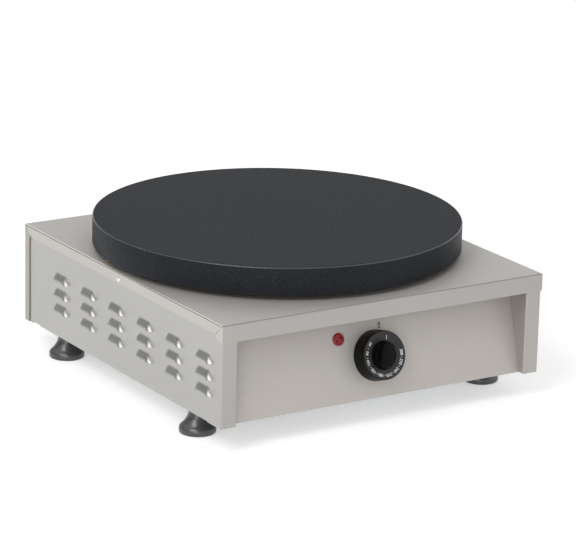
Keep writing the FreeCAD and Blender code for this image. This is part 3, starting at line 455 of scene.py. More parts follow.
louvre_tree, given, result = new_tree("louvre_field", [
    ("Louvre", "Object"), ("Columns", "Int"), ("Rows", "Int"), ("Pitch", "Float"),
    ("Row Pitch", "Float"), ("Side", "Float"), ("Middle", "Float"), ("First Lip", "Float"),
    ("Steel", "Material")])
column_step = add(louvre_tree, "ShaderNodeCombineXYZ", None, {"Y": given.outputs["Pitch"]})
column_line = add(louvre_tree, "GeometryNodeMeshLine", {"mode": "OFFSET"},
                  {"Count": given.outputs["Columns"], "Offset": column_step.outputs[0]})
downwards = add(louvre_tree, "ShaderNodeMath", {"operation": "MULTIPLY"},
                {0: given.outputs["Row Pitch"], 1: -1.0})
row_step = add(louvre_tree, "ShaderNodeCombineXYZ", None, {"Z": downwards.outputs[0]})
row_line = add(louvre_tree, "GeometryNodeMeshLine", {"mode": "OFFSET"},
               {"Count": given.outputs["Rows"], "Offset": row_step.outputs[0]})
shape = add(louvre_tree, "GeometryNodeObjectInfo", None, {"Object": given.outputs["Louvre"]})
rows = add(louvre_tree, "GeometryNodeInstanceOnPoints", None,
           {"Points": row_line.outputs[0], "Instance": shape.outputs["Geometry"]})
field = add(louvre_tree, "GeometryNodeInstanceOnPoints", None,
            {"Points": column_line.outputs[0], "Instance": rows.outputs[0]})
gaps = add(louvre_tree, "ShaderNodeMath", {"operation": "SUBTRACT"}, {0: given.outputs["Columns"], 1: 1.0})
half_run = add(louvre_tree, "ShaderNodeMath", {"operation": "MULTIPLY"}, {0: gaps.outputs[0], 1: -0.5})
start_y = add(louvre_tree, "ShaderNodeMath", {"operation": "MULTIPLY_ADD"},
              {0: half_run.outputs[0], 1: given.outputs["Pitch"], 2: given.outputs["Middle"]})
start = add(louvre_tree, "ShaderNodeCombineXYZ", None,
            {"X": given.outputs["Side"], "Y": start_y.outputs[0], "Z": given.outputs["First Lip"]})
placed = add(louvre_tree, "GeometryNodeTransform", None,
             {"Geometry": field.outputs[0], "Translation": start.outputs[0]})
real = add(louvre_tree, "GeometryNodeRealizeInstances", None, {"Geometry": placed.outputs[0]})
whole_side = add(louvre_tree, "GeometryNodeJoinGeometry")
louvre_tree.links.new(real.outputs[0], whole_side.inputs[0])
louvre_tree.links.new(given.outputs["Geometry"], whole_side.inputs[0])
merged = add(louvre_tree, "GeometryNodeMergeByDistance", None,
             {"Geometry": whole_side.outputs[0], "Distance": 2e-6})
painted = add(louvre_tree, "GeometryNodeSetMaterial", None,
              {"Geometry": merged.outputs[0], "Material": given.outputs["Steel"]})
louvre_tree.links.new(painted.outputs[0], result.inputs["Geometry"])

post_y = side_low.y
rear_wall = side_high.y
low_z = side_low.z
high_z = side_high.z
column_ys = [field_y + (column - (louvre_columns - 1) / 2) * louvre_pitch for column in range(louvre_columns)]
lips = [first_lip - row * row_pitch for row in range(louvre_rows)][::-1]
field_ys = sorted({round(y + step, 7) for y in column_ys for step in cell_ys})
field_zs = sorted({round(z + step, 7) for z in lips for step in lower_zs + hood_zs[1:]})
below_zs = spaced(low_z + bend, field_zs[0], 4)
above_zs = spaced(field_zs[-1], high_z, 4)
all_zs = below_zs + field_zs[1:-1] + above_zs
post_x = side_x - post_face
rear_part = [(side_x, y) for y in spaced(rear_wall, field_ys[-1], 3)]
front_part = [(side_x, y) for y in spaced(field_ys[0], post_y + bend, 2)]
front_part += arc((side_x - bend, post_y + bend), bend, 0, -90, fold_steps)[1:]
front_part += [(x, post_y) for x in spaced(side_x - bend, post_x + bend, 3)][1:]
front_part += arc((post_x + bend, post_y + bend), bend, -90, -180, fold_steps)[1:]


def return_y(z):
    """Rear edge of the post's return, which tapers towards the floor."""
    share = (z - low_z) / (high_z - low_z)
    return post_y + return_low + (return_high - return_low) * share


skin = bmesh.new()
weave(skin, [[(x, y, z) for x, y in rear_part] for z in all_zs])
weave(skin, [[(x, y, z) for x, y in front_part] + [(post_x, return_y(z), z)] for z in all_zs])
middle_part = [(side_x, y) for y in field_ys[::-1]]
weave(skin, [[(x, y, z) for x, y in middle_part] for z in below_zs])
weave(skin, [[(x, y, z) for x, y in middle_part] for z in above_zs])
flange_front = post_y + flange_from_post
flange_rear = rear_wall - flange_from_rear
edge_path = rear_part + middle_part[1:-1] + front_part
for_flange = [(x, y) for x, y in edge_path if x == side_x and flange_front <= y <= flange_rear]
fold = arc((side_x - bend, low_z + bend), bend, 0, -90, fold_steps) + [(side_x - flange_width, low_z)]
weave(skin, [[(x, y, z) for _, y in for_flange] for x, z in fold[::-1]])
for part in ([p for p in edge_path if p[0] < side_x or p[1] < flange_front],
             [p for p in edge_path if p[0] == side_x and p[1] > flange_rear]):
    weave(skin, [[(x, y, z) for x, y in part] for z in (low_z, low_z + bend)])
bmesh.ops.remove_doubles(skin, verts=skin.verts, dist=2e-6)
skin_mesh = as_mesh("side_skin", skin)
side_steel = stainless("brushed_stainless_side", "#b3b2ae", 1, 0.33)
post_steel = stainless("brushed_stainless_post", "#a9a5a2", 2)
# The post's return takes a darker, duller tone: painted shade for the recess between the post and the front panel.
return_painted_shade_steel = stainless("stainless_return_in_painted_shade", "#a8a4a1", 2, 0.5, 0.6)
for name, sign in (("right", 1), ("left", -1)):
    side = grown(name + "_side_sheet", louvre_tree, {
        "Louvre": louvre_cell, "Columns": louvre_columns, "Rows": louvre_rows, "Pitch": louvre_pitch,
        "Row Pitch": row_pitch, "Side": side_x, "Middle": field_y, "First Lip": first_lip,
        "Steel": side_steel}, skin_mesh.copy())
    whole = opened(side.data)
    bmesh.ops.remove_doubles(whole, verts=whole.verts, dist=2e-6)
    bmesh.ops.recalc_face_normals(whole, faces=whole.faces)
    whole.faces.ensure_lookup_table()
    outer = max(whole.faces, key=lambda f: f.calc_center_median().x)
    if outer.normal.x < 0:
        bmesh.ops.reverse_faces(whole, faces=whole.faces)
    if sign < 0:
        bmesh.ops.transform(whole, matrix=Matrix.Scale(-1, 4, (1, 0, 0)), verts=whole.verts)
        bmesh.ops.reverse_faces(whole, faces=whole.faces)
    whole.to_mesh(side.data)
    whole.free()
    finish_sheet(side, sheet, 0.0)
    refinish(side, post_steel, lambda middle, facing: middle.y < post_y + post_band and abs(facing.x) < 0.9
             or abs(middle.x) < post_x + post_inside and middle.z > low_z + post_inside)
    # Painted shade on the return flange's faces in the recess.
    refinish(side, return_painted_shade_steel, lambda middle, facing: abs(facing.x) > 0.9
             and abs(middle.x) < post_x + post_inside and middle.z > low_z + post_inside)
    keep(side, "root", "stainless", name + "_side_panel")

# Rear panel: a sheet of the same stainless, folded round both rear corners so that it laps the
# sides, with each wrap cut to meet the cover's side lip at a mitre, and a flange along the floor.


def face_out(form, chosen, direction):
    """Make all faces agree, with the chosen one's normal along a direction."""
    bmesh.ops.remove_doubles(form, verts=form.verts, dist=2e-6)
    bmesh.ops.recalc_face_normals(form, faces=form.faces)
    pick = max(form.faces, key=chosen)
    if pick.normal.dot(Vector(direction)) < 0:
        bmesh.ops.reverse_faces(form, faces=form.faces)


def folded_piece(name, form, material, even=True):
    """Keep a folded skin as an object, with its sheet's thickness inwards."""
    made = bpy.data.objects.new(name, as_mesh(name, form))
    made.data.materials.append(material)
    scene.collection.objects.link(made)
    finish_sheet(made, sheet, cut_edge, even)
    return made


cut_edge = 0.00015
half_width = cover_high.x
front_y = cover_low.y
rear_y = cover_high.y
top_z = cover_high.z
under_cover = top_z - sheet
side_lip = 0.012
corner_tab = 0.0125
tab_drop = 0.0055
mitre_gap = 0.0013
tab_gap = 0.0002
wrap_gap = 0.0001
rear_wrap = 0.0105
rear_flange = 0.014
front_lip = top_z - cover_low.z
lip_low = top_z - side_lip


def wrap_edge(z):
    """Front edge of the rear wrap: straight, then a bowed tab, then the mitre."""
    if z <= lip_low - tab_drop:
        return rear_y - rear_wrap
    if z <= lip_low:
        t = (z - lip_low + tab_drop) / tab_drop
        return rear_y - rear_wrap - (corner_tab - rear_wrap) * t ** 2
    t = (z - lip_low) / (under_cover - lip_low)
    return rear_y - corner_tab + (corner_tab - bend - wrap_gap) * t


wrap_zs = [low_z] + spaced(low_z + bend, lip_low - tab_drop, 6) + spaced(lip_low - tab_drop, lip_low, 8)[1:]
wrap_zs += spaced(lip_low, under_cover, 6)[1:]
corner = arc((half_width - bend, rear_y - bend), bend, 0, 90, fold_steps)
rear = bmesh.new()
for sign in (1, -1):
    weave(rear, [[(sign * half_width, wrap_edge(z), z)] + [(sign * x, y, z) for x, y in corner]
                 for z in wrap_zs])
wall_xs = spaced(-half_width + bend, half_width - bend, 12)
weave(rear, [[(x, rear_y, z) for x in wall_xs] for z in wrap_zs[1:]])
floor_fold = arc((rear_y - bend, low_z + bend), bend, 0, -90, fold_steps)
weave(rear, [[(x, y, z) for x in wall_xs] for y, z in [(rear_y - rear_flange, low_z)] + floor_fold[::-1]])
face_out(rear, lambda f: f.calc_center_median().y, (0, 1, 0))
rear_steel = stainless("brushed_stainless_rear", "#afaba6", 0)
rear_sheet = folded_piece("rear_sheet", rear, rear_steel)
keep(rear_sheet, "root", "stainless", "rear_panel")

# Top cover: one sheet of stainless, folded down at the front and the sides. Its front lip is turned
# round the corners as tabs that meet the side lips at a fine mitre. One screw holds each side lip.
cover = bmesh.new()
top_ys = [front_y + bend] + spaced(front_y + corner_tab + mitre_gap, rear_y - corner_tab, 10) + [rear_y]
top_xs = spaced(-half_width + bend, half_width - bend, 10)
weave(cover, [[(x, y, top_z) for x in top_xs] for y in top_ys])
front_fold = arc((front_y + bend, top_z - bend), bend, 90, 180, fold_steps)
weave(cover, [[(x, y, z) for x in top_xs] for y, z in front_fold])
weave(cover, [[(x, front_y, z) for x in top_xs] for z in (top_z - bend, top_z - front_lip)])
tab_rise = 0.001
tab_low = top_z - front_lip + tab_rise


def tab_edge(z):
    """Rear edge of a corner tab: a bowed toe, then the mitre up to the corner."""
    if z <= lip_low:
        t = (z - tab_low) / (lip_low - tab_low)
        return front_y + corner_tab - tab_drop * (1 - t) ** 2.2
    t = (z - lip_low) / (top_z - bend - lip_low)
    return front_y + corner_tab + (bend + tab_gap - corner_tab) * t


def lip_front(z):
    """Front edge of a side lip along the mitre."""
    t = (z - lip_low) / (top_z - bend - lip_low)
    return front_y + corner_tab + mitre_gap + (bend - corner_tab - mitre_gap) * t


def lip_rear(z):
    """Rear edge of a side lip along the rear mitre."""
    t = (z - lip_low) / (top_z - bend - lip_low)
    return rear_y - corner_tab - mitre_gap + (corner_tab + mitre_gap) * t


for sign in (1, -1):
    side_fold = arc((half_width - bend, top_z - bend), bend, 90, 0, fold_steps)
    weave(cover, [[(sign * x, y, z) for y in top_ys] for x, z in side_fold])
    lip_zs = spaced(top_z - bend, lip_low, 6)
    weave(cover, [[(sign * half_width, y, z) for y in [lip_front(z)] + top_ys[1:-1] + [lip_rear(z)]]
                  for z in lip_zs])
    post_fold = arc((half_width - bend, front_y + bend), bend, -90, 0, fold_steps)
    tab_zs = spaced(tab_low, lip_low, 8) + spaced(lip_low, top_z - bend, 6)[1:]
    weave(cover, [[(sign * x, y, z) for x, y in post_fold] + [(sign * half_width, tab_edge(z), z)]
                  for z in tab_zs])
    octant = []
    for i in range(fold_steps + 1):
        lean = radians(90 * i / fold_steps)
        octant.append([(sign * (half_width - bend) + sign * dx * cos(lean),
                        front_y + bend + dy * cos(lean), top_z - bend + bend * sin(lean))
                       for dx, dy in arc((0, 0), bend, -90, 0, fold_steps)])
    weave(cover, octant)
face_out(cover, lambda f: f.calc_center_median().z, (0, 0, 1))
cover_steel = stainless("brushed_stainless_cover", "#bebbb7", 0, 0.64, 0.5)
lip_steel = stainless("brushed_stainless_lip", "#c0bdb8", 1)
fold_painted_highlight = stainless("painted_highlight_on_fold", "#eceae6", 1, 0.25)
fold_painted_shade = stainless("painted_shade_on_fold", "#918e8a", 1, 0.4)
mill_finish_and_painted_light = stainless("mill_finish_painted_lighter", "#dcdad6", 0, 0.5, 0.7)
cover_sheet = folded_piece("cover_sheet", cover, cover_steel, False)
lip_x = half_width - 0.0009
fold_x = half_width - bend
lip_back = front_y + 0.003
refinish(cover_sheet, post_steel, lambda middle, facing: facing.y < -0.7)
refinish(cover_sheet, lip_steel, lambda middle, facing: abs(facing.x) > 0.7 and abs(middle.x) > lip_x)
# Painted highlight: the upper faces of the side folds take a near-white, glossier tone that stands for a bright
# line of light along the bend.
refinish(cover_sheet, fold_painted_highlight, lambda middle, facing: facing.z > 0.5 and
         abs(facing.x) > 0.2 and abs(middle.x) > fold_x)
# Painted shade: the front fold and the lower faces of the side folds take a dark tone that stands for a thin line
# of shade under the bend.
refinish(cover_sheet, fold_painted_shade, lambda middle, facing: 0.15 < facing.z < 0.93 and facing.y < -0.3 or
         0.1 < facing.z <= 0.5 and abs(facing.x) > 0.5 and abs(middle.x) > fold_x)
# The undersides and the inside of the front lip are the mill-finish back of the sheet, painted much lighter as
# painted light that lifts the shade inside the lip.
refinish(cover_sheet, mill_finish_and_painted_light, lambda middle, facing: facing.z < -0.7 or
         facing.y > 0.7 and middle.y < lip_back)
keep(cover_sheet, "root", "stainless", "top_cover")

# Cooking plate: cast iron, turned true on its rim and top, then coated with a dark blue-grey
# enamel. The coat is fine-grained and satin, the top edge carries a painted highlight, a lighter fine
# bright line, and the bottom edge is left bare. Four bosses under it take the stand-offs.


def enamelled_iron(name, code, speck_code, roughness, gloss):
    """Satin vitreous enamel: dark ground, scattered pale specks, orange peel and fine grain."""
    material, tree = new_material(name)
    peel_mm = 2.4
    grit_mm = 1.1
    cloud_mm = 110.0
    where = add(tree, "ShaderNodeTexCoord").outputs["Object"]
    peel, grit, cloud = [add(tree, "ShaderNodeTexNoise", None, {
        "Vector": where, "Scale": 1000.0 / size_mm, "Detail": detail})
        for size_mm, detail in ((peel_mm, 3.0), (grit_mm, 2.0), (cloud_mm, 3.0))]
    speck, tone, rough = [add(tree, "ShaderNodeMapRange", None, {
        "Value": source.outputs["Fac"], "From Min": low, "From Max": high, "To Min": least, "To Max": most})
        for source, low, high, least, most in (
            (grit, 0.58, 0.72, 0.0, 0.3), (cloud, 0.3, 0.7, 0.85, 1.15),
            (peel, 0.3, 0.7, roughness - 0.06, roughness + 0.06))]
    ground = add(tree, "ShaderNodeVectorMath", {"operation": "SCALE"},
                 {0: linear(code)[:3], "Scale": tone.outputs[0]})
    colour = add(tree, "ShaderNodeMix", {"data_type": "RGBA"},
                 {"Factor": speck.outputs[0], 6: ground.outputs[0], 7: linear(speck_code)})
    height = add(tree, "ShaderNodeMath", {"operation": "ADD"},
                 {0: peel.outputs["Fac"], 1: grit.outputs["Fac"]})
    bump = add(tree, "ShaderNodeBump", None,
               {"Height": height.outputs[0], "Strength": 0.5, "Distance": 0.00008})
    shader = add(tree, "ShaderNodeBsdfPrincipled", None,
                 {"Base Color": colour.outputs[2], "Roughness": rough.outputs[0],
                  "Specular IOR Level": gloss, "Normal": bump.outputs[0]})
    add(tree, "ShaderNodeOutputMaterial", None, {"Surface": shader.outputs[0]})
    return material


def solid_boxes(name):
    """Lowest and highest corner of each separate solid in a node of the frame."""
    form = opened(nodes[name].data)
    bmesh.ops.remove_doubles(form, verts=form.verts, dist=1e-6)
    boxes = []
    left = set(form.verts)
    while left:
        front = [left.pop()]
        spots = []
        while front:
            vert = front.pop()
            spots.append(vert.co.copy())
            for edge in vert.link_edges:
                other = edge.other_vert(vert)
                if other in left:
                    left.remove(other)
                    front.append(other)
        boxes.append((Vector([min(s[i] for s in spots) for i in range(3)]),
                      Vector([max(s[i] for s in spots) for i in range(3)])))
    form.free()
    return sorted(boxes, key=lambda pair: tuple(round(c, 4) for c in pair[0]))


def joined(forms):
    """One bmesh that holds all the given closed forms."""
    whole = bmesh.new()
    for form in forms:
        part = as_mesh("part", form)
        whole.from_mesh(part)
        bpy.data.meshes.remove(part)
    return whole


plate_middle = (plate_low + plate_high) / 2
plate_radius = (plate_high.x - plate_low.x) / 2
plate_edge = 0.002
plate_skirt = 0.009
plate_web = 0.016
boss_radius = 0.0085
boss_chamfer = 0.0008
boss_sunk = 0.001
skirt_foot = 0.001
skirt_chamfer = 0.0005
rise = plate_high.z - plate_low.z
web = rise - plate_web
fillet = 0.003
inner = plate_radius - plate_skirt
profile = [(0.0, web), (inner - fillet, web)]
profile += arc((inner - fillet, web - fillet), fillet, 90, 0, 5)[1:]
profile += [(inner, skirt_chamfer), (inner + skirt_chamfer, 0.0), (plate_radius - skirt_foot, 0.0)]
profile += arc((plate_radius - skirt_foot, skirt_foot), skirt_foot, -90, 0, 4)[1:]
profile += arc((plate_radius - plate_edge, rise - plate_edge), plate_edge, 0, 90, 10)
profile += [(plate_radius * share, rise) for share in (0.97, 0.9, 0.7, 0.45, 0.2)] + [(0.0, rise)]
plate_forms = [turned(profile, 256, Vector((plate_middle.x, plate_middle.y, plate_low.z)))]
for low, high in solid_boxes("plate_standoffs"):
    seat = high.z - plate_low.z
    boss = [(0.0, seat), (boss_radius - boss_chamfer, seat), (boss_radius, seat + boss_chamfer),
            (boss_radius, web + boss_sunk), (0.0, web + boss_sunk)]
    plate_forms.append(turned(boss, 40, Vector(((low.x + high.x) / 2, (low.y + high.y) / 2, plate_low.z))))
enamel = enamelled_iron("enamelled_cast_iron", "#15181c", "#4f5763", 0.56, 0.1)
rim_enamel = enamelled_iron("enamelled_cast_iron_rim", "#171a1f", "#59626e", 0.52, 0.16)
edge_painted_highlight = enamelled_iron("enamel_edge_painted_highlight", "#323941", "#7d8794", 0.32, 0.5)
bare_edge = mottled("bare_iron_edge", "#4a4038", 0.55, 1.2, 0.05, 0.08, 0.6, 0.2)
plate = piece("enamelled_plate", joined(plate_forms), enamel, sharp=40)
rim_inside = plate_radius - 0.001
bare_top = plate_low.z + 0.0012
refinish(plate, rim_enamel, lambda middle, facing: abs(facing.z) < 0.25 and
         (middle - plate_middle).xy.length > rim_inside)
# Painted highlight: the top edge's rounding takes a lighter, glossier enamel that stands for a fine bright line of
# light.
refinish(plate, edge_painted_highlight, lambda middle, facing: 0.25 < facing.z < 0.9 and
         middle.z > plate_high.z - plate_edge)
refinish(plate, bare_edge, lambda middle, facing: facing.z < -0.25 and middle.z < bare_top)
keep(plate, "root", "plate_enamel", "crepe_plate")

# Front panel: a slanted sheet set back between the posts, with holes for the knob and the lamp.
# It is the same stainless, ground along its length. Its folded cheeks are painted darker, a painted shade standing
# for the posts' shade.
panel_stainless_with_painted_shade = stainless("panel_stainless_painted_shade_on_cheeks", "#bfbab5", 0, 0.6, 0.4)
cheek_blur = 0.0004
painted_shade_level = 0.75
cheek_x = post_x + cheek_blur
tree = panel_stainless_with_painted_shade.node_tree
where = add(tree, "ShaderNodeTexCoord")
axes = add(tree, "ShaderNodeSeparateXYZ", None, {0: where.outputs["Object"]})
sideways = add(tree, "ShaderNodeMath", {"operation": "ABSOLUTE"}, {0: axes.outputs["X"]})
# Painted shade: the base colour is scaled down on the cheeks, where |x| passes cheek_x.
cheek = add(tree, "ShaderNodeMapRange", None, {
    "Value": sideways.outputs[0], "From Min": cheek_x, "From Max": cheek_x + cheek_blur, "To Min": 1.0,
    "To Max": painted_shade_level})
shader = [node for node in tree.nodes if node.type == "BSDF_PRINCIPLED"][0]
plain = shader.inputs["Base Color"].links[0].from_socket
cheeks_darkened_as_painted_shade = add(tree, "ShaderNodeVectorMath", {"operation": "SCALE"}, {0: plain, "Scale": cheek.outputs[0]})
tree.links.new(cheeks_darkened_as_painted_shade.outputs[0], shader.inputs["Base Color"])
nodes["front_panel"].data.materials.clear()
nodes["front_panel"].data.materials.append(panel_stainless_with_painted_shade)

# Knob: moulded in black phenolic, with a hollow skirt, a dished face and a bar grip on a fillet.
# The dial's numbers, ticks and off line are printed in white, and a dark mark on the panel shows
# the setting. Glossy moulding catches a soft light on its rounded rim.


def panel_form(form, x, up):
    """Place a form made about the knob's axis on the panel, x to the right and up along the slope."""
    bmesh.ops.transform(form, matrix=knob_place @ Matrix.Translation((x, up, 0.0)), verts=form.verts)
    return form


def rounded_bar(width, length, corner, z, steps=8):
    """Outline of a bar with round corners, as a ring of points at one height."""
    ring = []
    for turn, sx, sy in ((0, 1, 1), (90, -1, 1), (180, -1, -1), (270, 1, -1)):
        middle = (sx * (width / 2 - corner), sy * (length / 2 - corner))
        ring += [(x, y, z) for x, y in arc(middle, corner, turn, turn + 90, steps)]
    return ring


def stacked(rings):
    """A closed form through rings of points that all have the same count."""
    form = bmesh.new()
    lines = [[form.verts.new(p) for p in ring] for ring in rings]
    for low, high in zip(lines, lines[1:]):
        for i in range(len(low)):
            j = (i + 1) % len(low)
            form.faces.new((low[i], low[j], high[j], high[i]))
    form.faces.new(lines[0][::-1])
    form.faces.new(lines[-1])
    return form


def printed(outlines, z, thick=0.00004):
    """Flat closed outlines raised to a thin layer of ink, outer edge first, then any hole."""
    form = bmesh.new()
    rings = [[form.verts.new((x, y, z)) for x, y in outline] for outline in outlines]
    if len(rings) == 1:
        form.faces.new(rings[0])
    else:
        for i in range(len(rings[0])):
            j = (i + 1) % len(rings[0])
            form.faces.new((rings[0][i], rings[0][j], rings[1][j], rings[1][i]))
    raised = bmesh.ops.extrude_face_region(form, geom=list(form.faces))
    moved = [item for item in raised["geom"] if isinstance(item, bmesh.types.BMVert)]
    bmesh.ops.translate(form, vec=(0, 0, thick), verts=moved)
    return form


knob_turn = [joint for joint in frame["joints"] if joint["name"] == "knob_turn"][0]
knob_spot = Vector(knob_turn["pos_m"])
outward = -Vector(knob_turn["axis"])
rightward = Vector((1, 0, 0))
knob_place = Matrix.Translation(knob_spot) @ \
    Matrix((rightward, outward.cross(rightward), outward)).transposed().to_4x4()
off_turn = Matrix.Rotation(radians(-16), 4, "Z")
skirt = 0.027
face = 0.0259
knob_back = 0.0008
knob_depth = 0.019
knob_wall = 0.0025
hub = 0.006
hub_depth = 0.0016
dish = 0.0018
face_rim = 0.0243
face_hub = 0.0155
grip_width = 0.017
grip_length = 0.0275
grip_corner = 0.0065
grip_draft = 0.0024
grip_top = 0.027
round_rim = 0.0012
lower_edge = 0.0004


def face_height(radius):
    """Height of the dished face over the panel, from its hub out to its rim."""
    return knob_depth - dish * min(1.0, (face_rim - radius) / (face_rim - face_hub))


def on_face(form):
    """Lay a flat print on the dished face."""
    for vert in form.verts:
        vert.co.z += face_height(hypot(vert.co.x, vert.co.y))
    return form


profile = [(0.0, knob_back + hub_depth), (hub, knob_back + hub_depth), (hub, knob_depth - knob_wall),
           (skirt - knob_wall - 0.001, knob_depth - knob_wall), (skirt - knob_wall, knob_back),
           (skirt - lower_edge, knob_back), (skirt, knob_back + lower_edge),
           (skirt - 0.0001, knob_back + 0.003),
           (skirt - 0.0005, knob_back + 0.0085), (face, knob_depth - round_rim)]
profile += arc((face - round_rim, knob_depth - round_rim), round_rim, 0, 90, 6)[1:]
profile += [(radius, face_height(radius)) for radius in (face_rim, 0.022, 0.019, face_hub)]
profile.append((0.0, face_height(face_hub)))
forms = [turned(profile, 128, Vector((0, 0, 0)))]
rings = []
for z, spread in ((knob_depth - dish - 0.0004, 0.0022), (knob_depth - dish + 0.0003, 0.0010),
                  (knob_depth - dish + 0.0011, 0.0003), (knob_depth + 0.0006, 0.0)):
    rings.append(rounded_bar(grip_width + spread, grip_length + spread, grip_corner + spread / 2, z))
for share, inset in ((0.5, 0.0), (0.9, 0.0), (0.965, 0.0005), (1.0, 0.0018)):
    cut = grip_draft * share + inset
    rings.append(rounded_bar(grip_width - cut, grip_length - cut, grip_corner - cut / 2,
                             knob_depth + (grip_top - knob_depth) * share))
forms.append(stacked(rings))
knob_form = joined(forms)
bmesh.ops.transform(knob_form, matrix=knob_place @ off_turn, verts=knob_form.verts)
phenolic = mottled("moulded_phenolic", "#080808", 0.36, 0.7, 0.02, 0.05, gloss=0.1)
satin_face = mottled("satin_phenolic_face", "#121213", 0.42, 0.7, 0.02, 0.05, gloss=0.5)
knob = piece("moulded_knob", knob_form, phenolic, sharp=32)
refinish(knob, satin_face, lambda middle, facing: facing.dot(outward) > 0.9 and
         outward.cross(middle - knob_spot).length > face_hub)
keep(knob, "knob", "knob_black", "control_knob")

digit_tall = 0.0030
digit_radius = 0.0210
digit_count = 9
first_digit = 60
digit_rise = 30
capital_share = 0.69
first_number = -65.0
number_step = -27.75
print_z = 0.00003
white_ink = mottled("white_ink", "#dfe6e8", 0.5, 0.6, 0.005, 0.05)
forms = []
for step in range(digit_count):
    script = bpy.data.objects.new("digits", bpy.data.curves.new("digits", "FONT"))
    script.data.body = str(first_digit + digit_rise * step)
    script.data.align_x = "CENTER"
    script.data.align_y = "CENTER"
    script.data.size = digit_tall / capital_share
    script.data.extrude = 0.00002
    script.data.offset = 0.00007
    script.data.resolution_u = 3
    scene.collection.objects.link(script)
    turn = radians(first_number + number_step * step)
    form = opened(evaluated(script))
    spot = Matrix.Translation((digit_radius * sin(turn), digit_radius * cos(turn), print_z))
    bmesh.ops.transform(form, matrix=spot @ Matrix.Rotation(-turn, 4, "Z"), verts=form.verts)
    forms.append(form)
    bpy.data.objects.remove(script)
off_line = [(0.00045, 0.0169), (0.00098, 0.0171), (-0.00045, 0.0213), (-0.00098, 0.0211)]
forms.append(printed([off_line], print_z))
dial_print = on_face(joined(forms))
bmesh.ops.transform(dial_print, matrix=knob_place @ off_turn, verts=dial_print.verts)
keep(piece("dial_numbers", dial_print, white_ink, smooth=False), "knob", "knob_black")

tick_tree, given, result = new_tree("dial_ticks", [
    ("Tick", "Object"), ("Count", "Int"), ("First Turn", "Float"), ("Step", "Float"), ("Radius", "Float"),
    ("Ink", "Material")])
dots = add(tick_tree, "GeometryNodePoints", None, {"Count": given.outputs["Count"]})
index = add(tick_tree, "GeometryNodeInputIndex")
turn = add(tick_tree, "ShaderNodeMath", {"operation": "MULTIPLY_ADD"},
           {0: index.outputs[0], 1: given.outputs["Step"], 2: given.outputs["First Turn"]})
spin = add(tick_tree, "ShaderNodeCombineXYZ", None, {"Z": turn.outputs[0]})
arm = add(tick_tree, "ShaderNodeCombineXYZ", None, {"Y": given.outputs["Radius"]})
spot = add(tick_tree, "ShaderNodeVectorRotate", {"rotation_type": "EULER_XYZ"},
           {"Vector": arm.outputs[0], "Rotation": spin.outputs[0]})
ring = add(tick_tree, "GeometryNodeSetPosition", None,
           {"Geometry": dots.outputs[0], "Position": spot.outputs[0]})
shape = add(tick_tree, "GeometryNodeObjectInfo", None, {"Object": given.outputs["Tick"]})
marks = add(tick_tree, "GeometryNodeInstanceOnPoints", None,
            {"Points": ring.outputs[0], "Instance": shape.outputs["Geometry"], "Rotation": spin.outputs[0]})
real = add(tick_tree, "GeometryNodeRealizeInstances", None, {"Geometry": marks.outputs[0]})
inked = add(tick_tree, "GeometryNodeSetMaterial", None,
            {"Geometry": real.outputs[0], "Material": given.outputs["Ink"]})
tick_tree.links.new(inked.outputs[0], result.inputs["Geometry"])
half_tick = 0.00025
half_length = 0.0008
tick_form = printed([[(sx * half_tick, sy * half_length) for sx, sy in ((-1, -1), (1, -1), (1, 1), (-1, 1))]],
                    print_z)
ticks = grown("dial_ticks", tick_tree, {
    "Tick": bpy.data.objects.new("tick", as_mesh("tick", tick_form)), "Count": digit_count - 1,
    "Radius": digit_radius, "First Turn": -radians(first_number + number_step / 2),
    "Step": -radians(number_step), "Ink": white_ink}, bpy.data.meshes.new("empty"))
form = opened(ticks.data)
bmesh.ops.transform(on_face(form), matrix=knob_place @ off_turn, verts=form.verts)
form.to_mesh(ticks.data)
form.free()
keep(ticks, "knob", "knob_black")

mark_x = 0.0092
mark_up = 0.0318
ring_radius = 0.0020
stem_half = 0.0003
stem_end = mark_up - 0.0034
dot_up = mark_up - 0.0038
dot_radius = 0.0011
dark_ink = mottled("dark_ink", "#3a3230", 0.5, 0.6, 0.005, 0.05)
outer_ring, inner_ring = [arc((mark_x, mark_up), ring_radius * share, 0, 345, 23) for share in (1.0, 0.5)]
stem = [(mark_x - stem_half, stem_end), (mark_x + stem_half, stem_end),
        (mark_x + stem_half, mark_up - ring_radius), (mark_x - stem_half, mark_up - ring_radius)]
mark_form = joined([printed([outer_ring, inner_ring], 0.00001), printed([stem], 0.00001),
                    printed([arc((mark_x, dot_up), dot_radius, 0, 340, 17)], 0.00002)])
mark = piece("index_mark", panel_form(mark_form, 0.0, 0.0), dark_ink, smooth=False)
keep(mark, "root", "knob_black")

# Pilot lamp: a deep red polycarbonate lens on a black barrel that is pushed through the panel.
# Facets moulded in its face break up the light, so parts of it look brighter than others.
lens_low, lens_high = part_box("lamp_lens")
lens_radius = (lens_high.x - lens_low.x) / 2
lens_height = 0.0024
lens_x = (lens_low.x + lens_high.x) / 2 - knob_spot.x
lens_up = 0.0227
facets = 18
lens_form = bmesh.new()
rows = []
for share, height, wave in ((0.999, 0.0, 0.0), (1.0, 0.0011, 0.0), (0.93, 0.0018, 0.0), (0.84, 0.0021, 0.0),
                            (0.70, 0.0019, 0.00035), (0.48, 0.0020, 0.0003), (0.25, 0.0022, 0.00018)):
    rows.append([lens_form.verts.new((lens_radius * share * cos(2 * pi * i / facets),
                                      lens_radius * share * sin(2 * pi * i / facets),
                                      min(height + wave * (-1) ** i, lens_height))) for i in range(facets)])
for low, high in zip(rows, rows[1:]):
    for i in range(facets):
        j = (i + 1) % facets
        lens_form.faces.new((low[i], low[j], high[j]))
        lens_form.faces.new((low[i], high[j], high[i]))
tip = lens_form.verts.new((0, 0, lens_height))
heel = lens_form.verts.new((0, 0, 0))
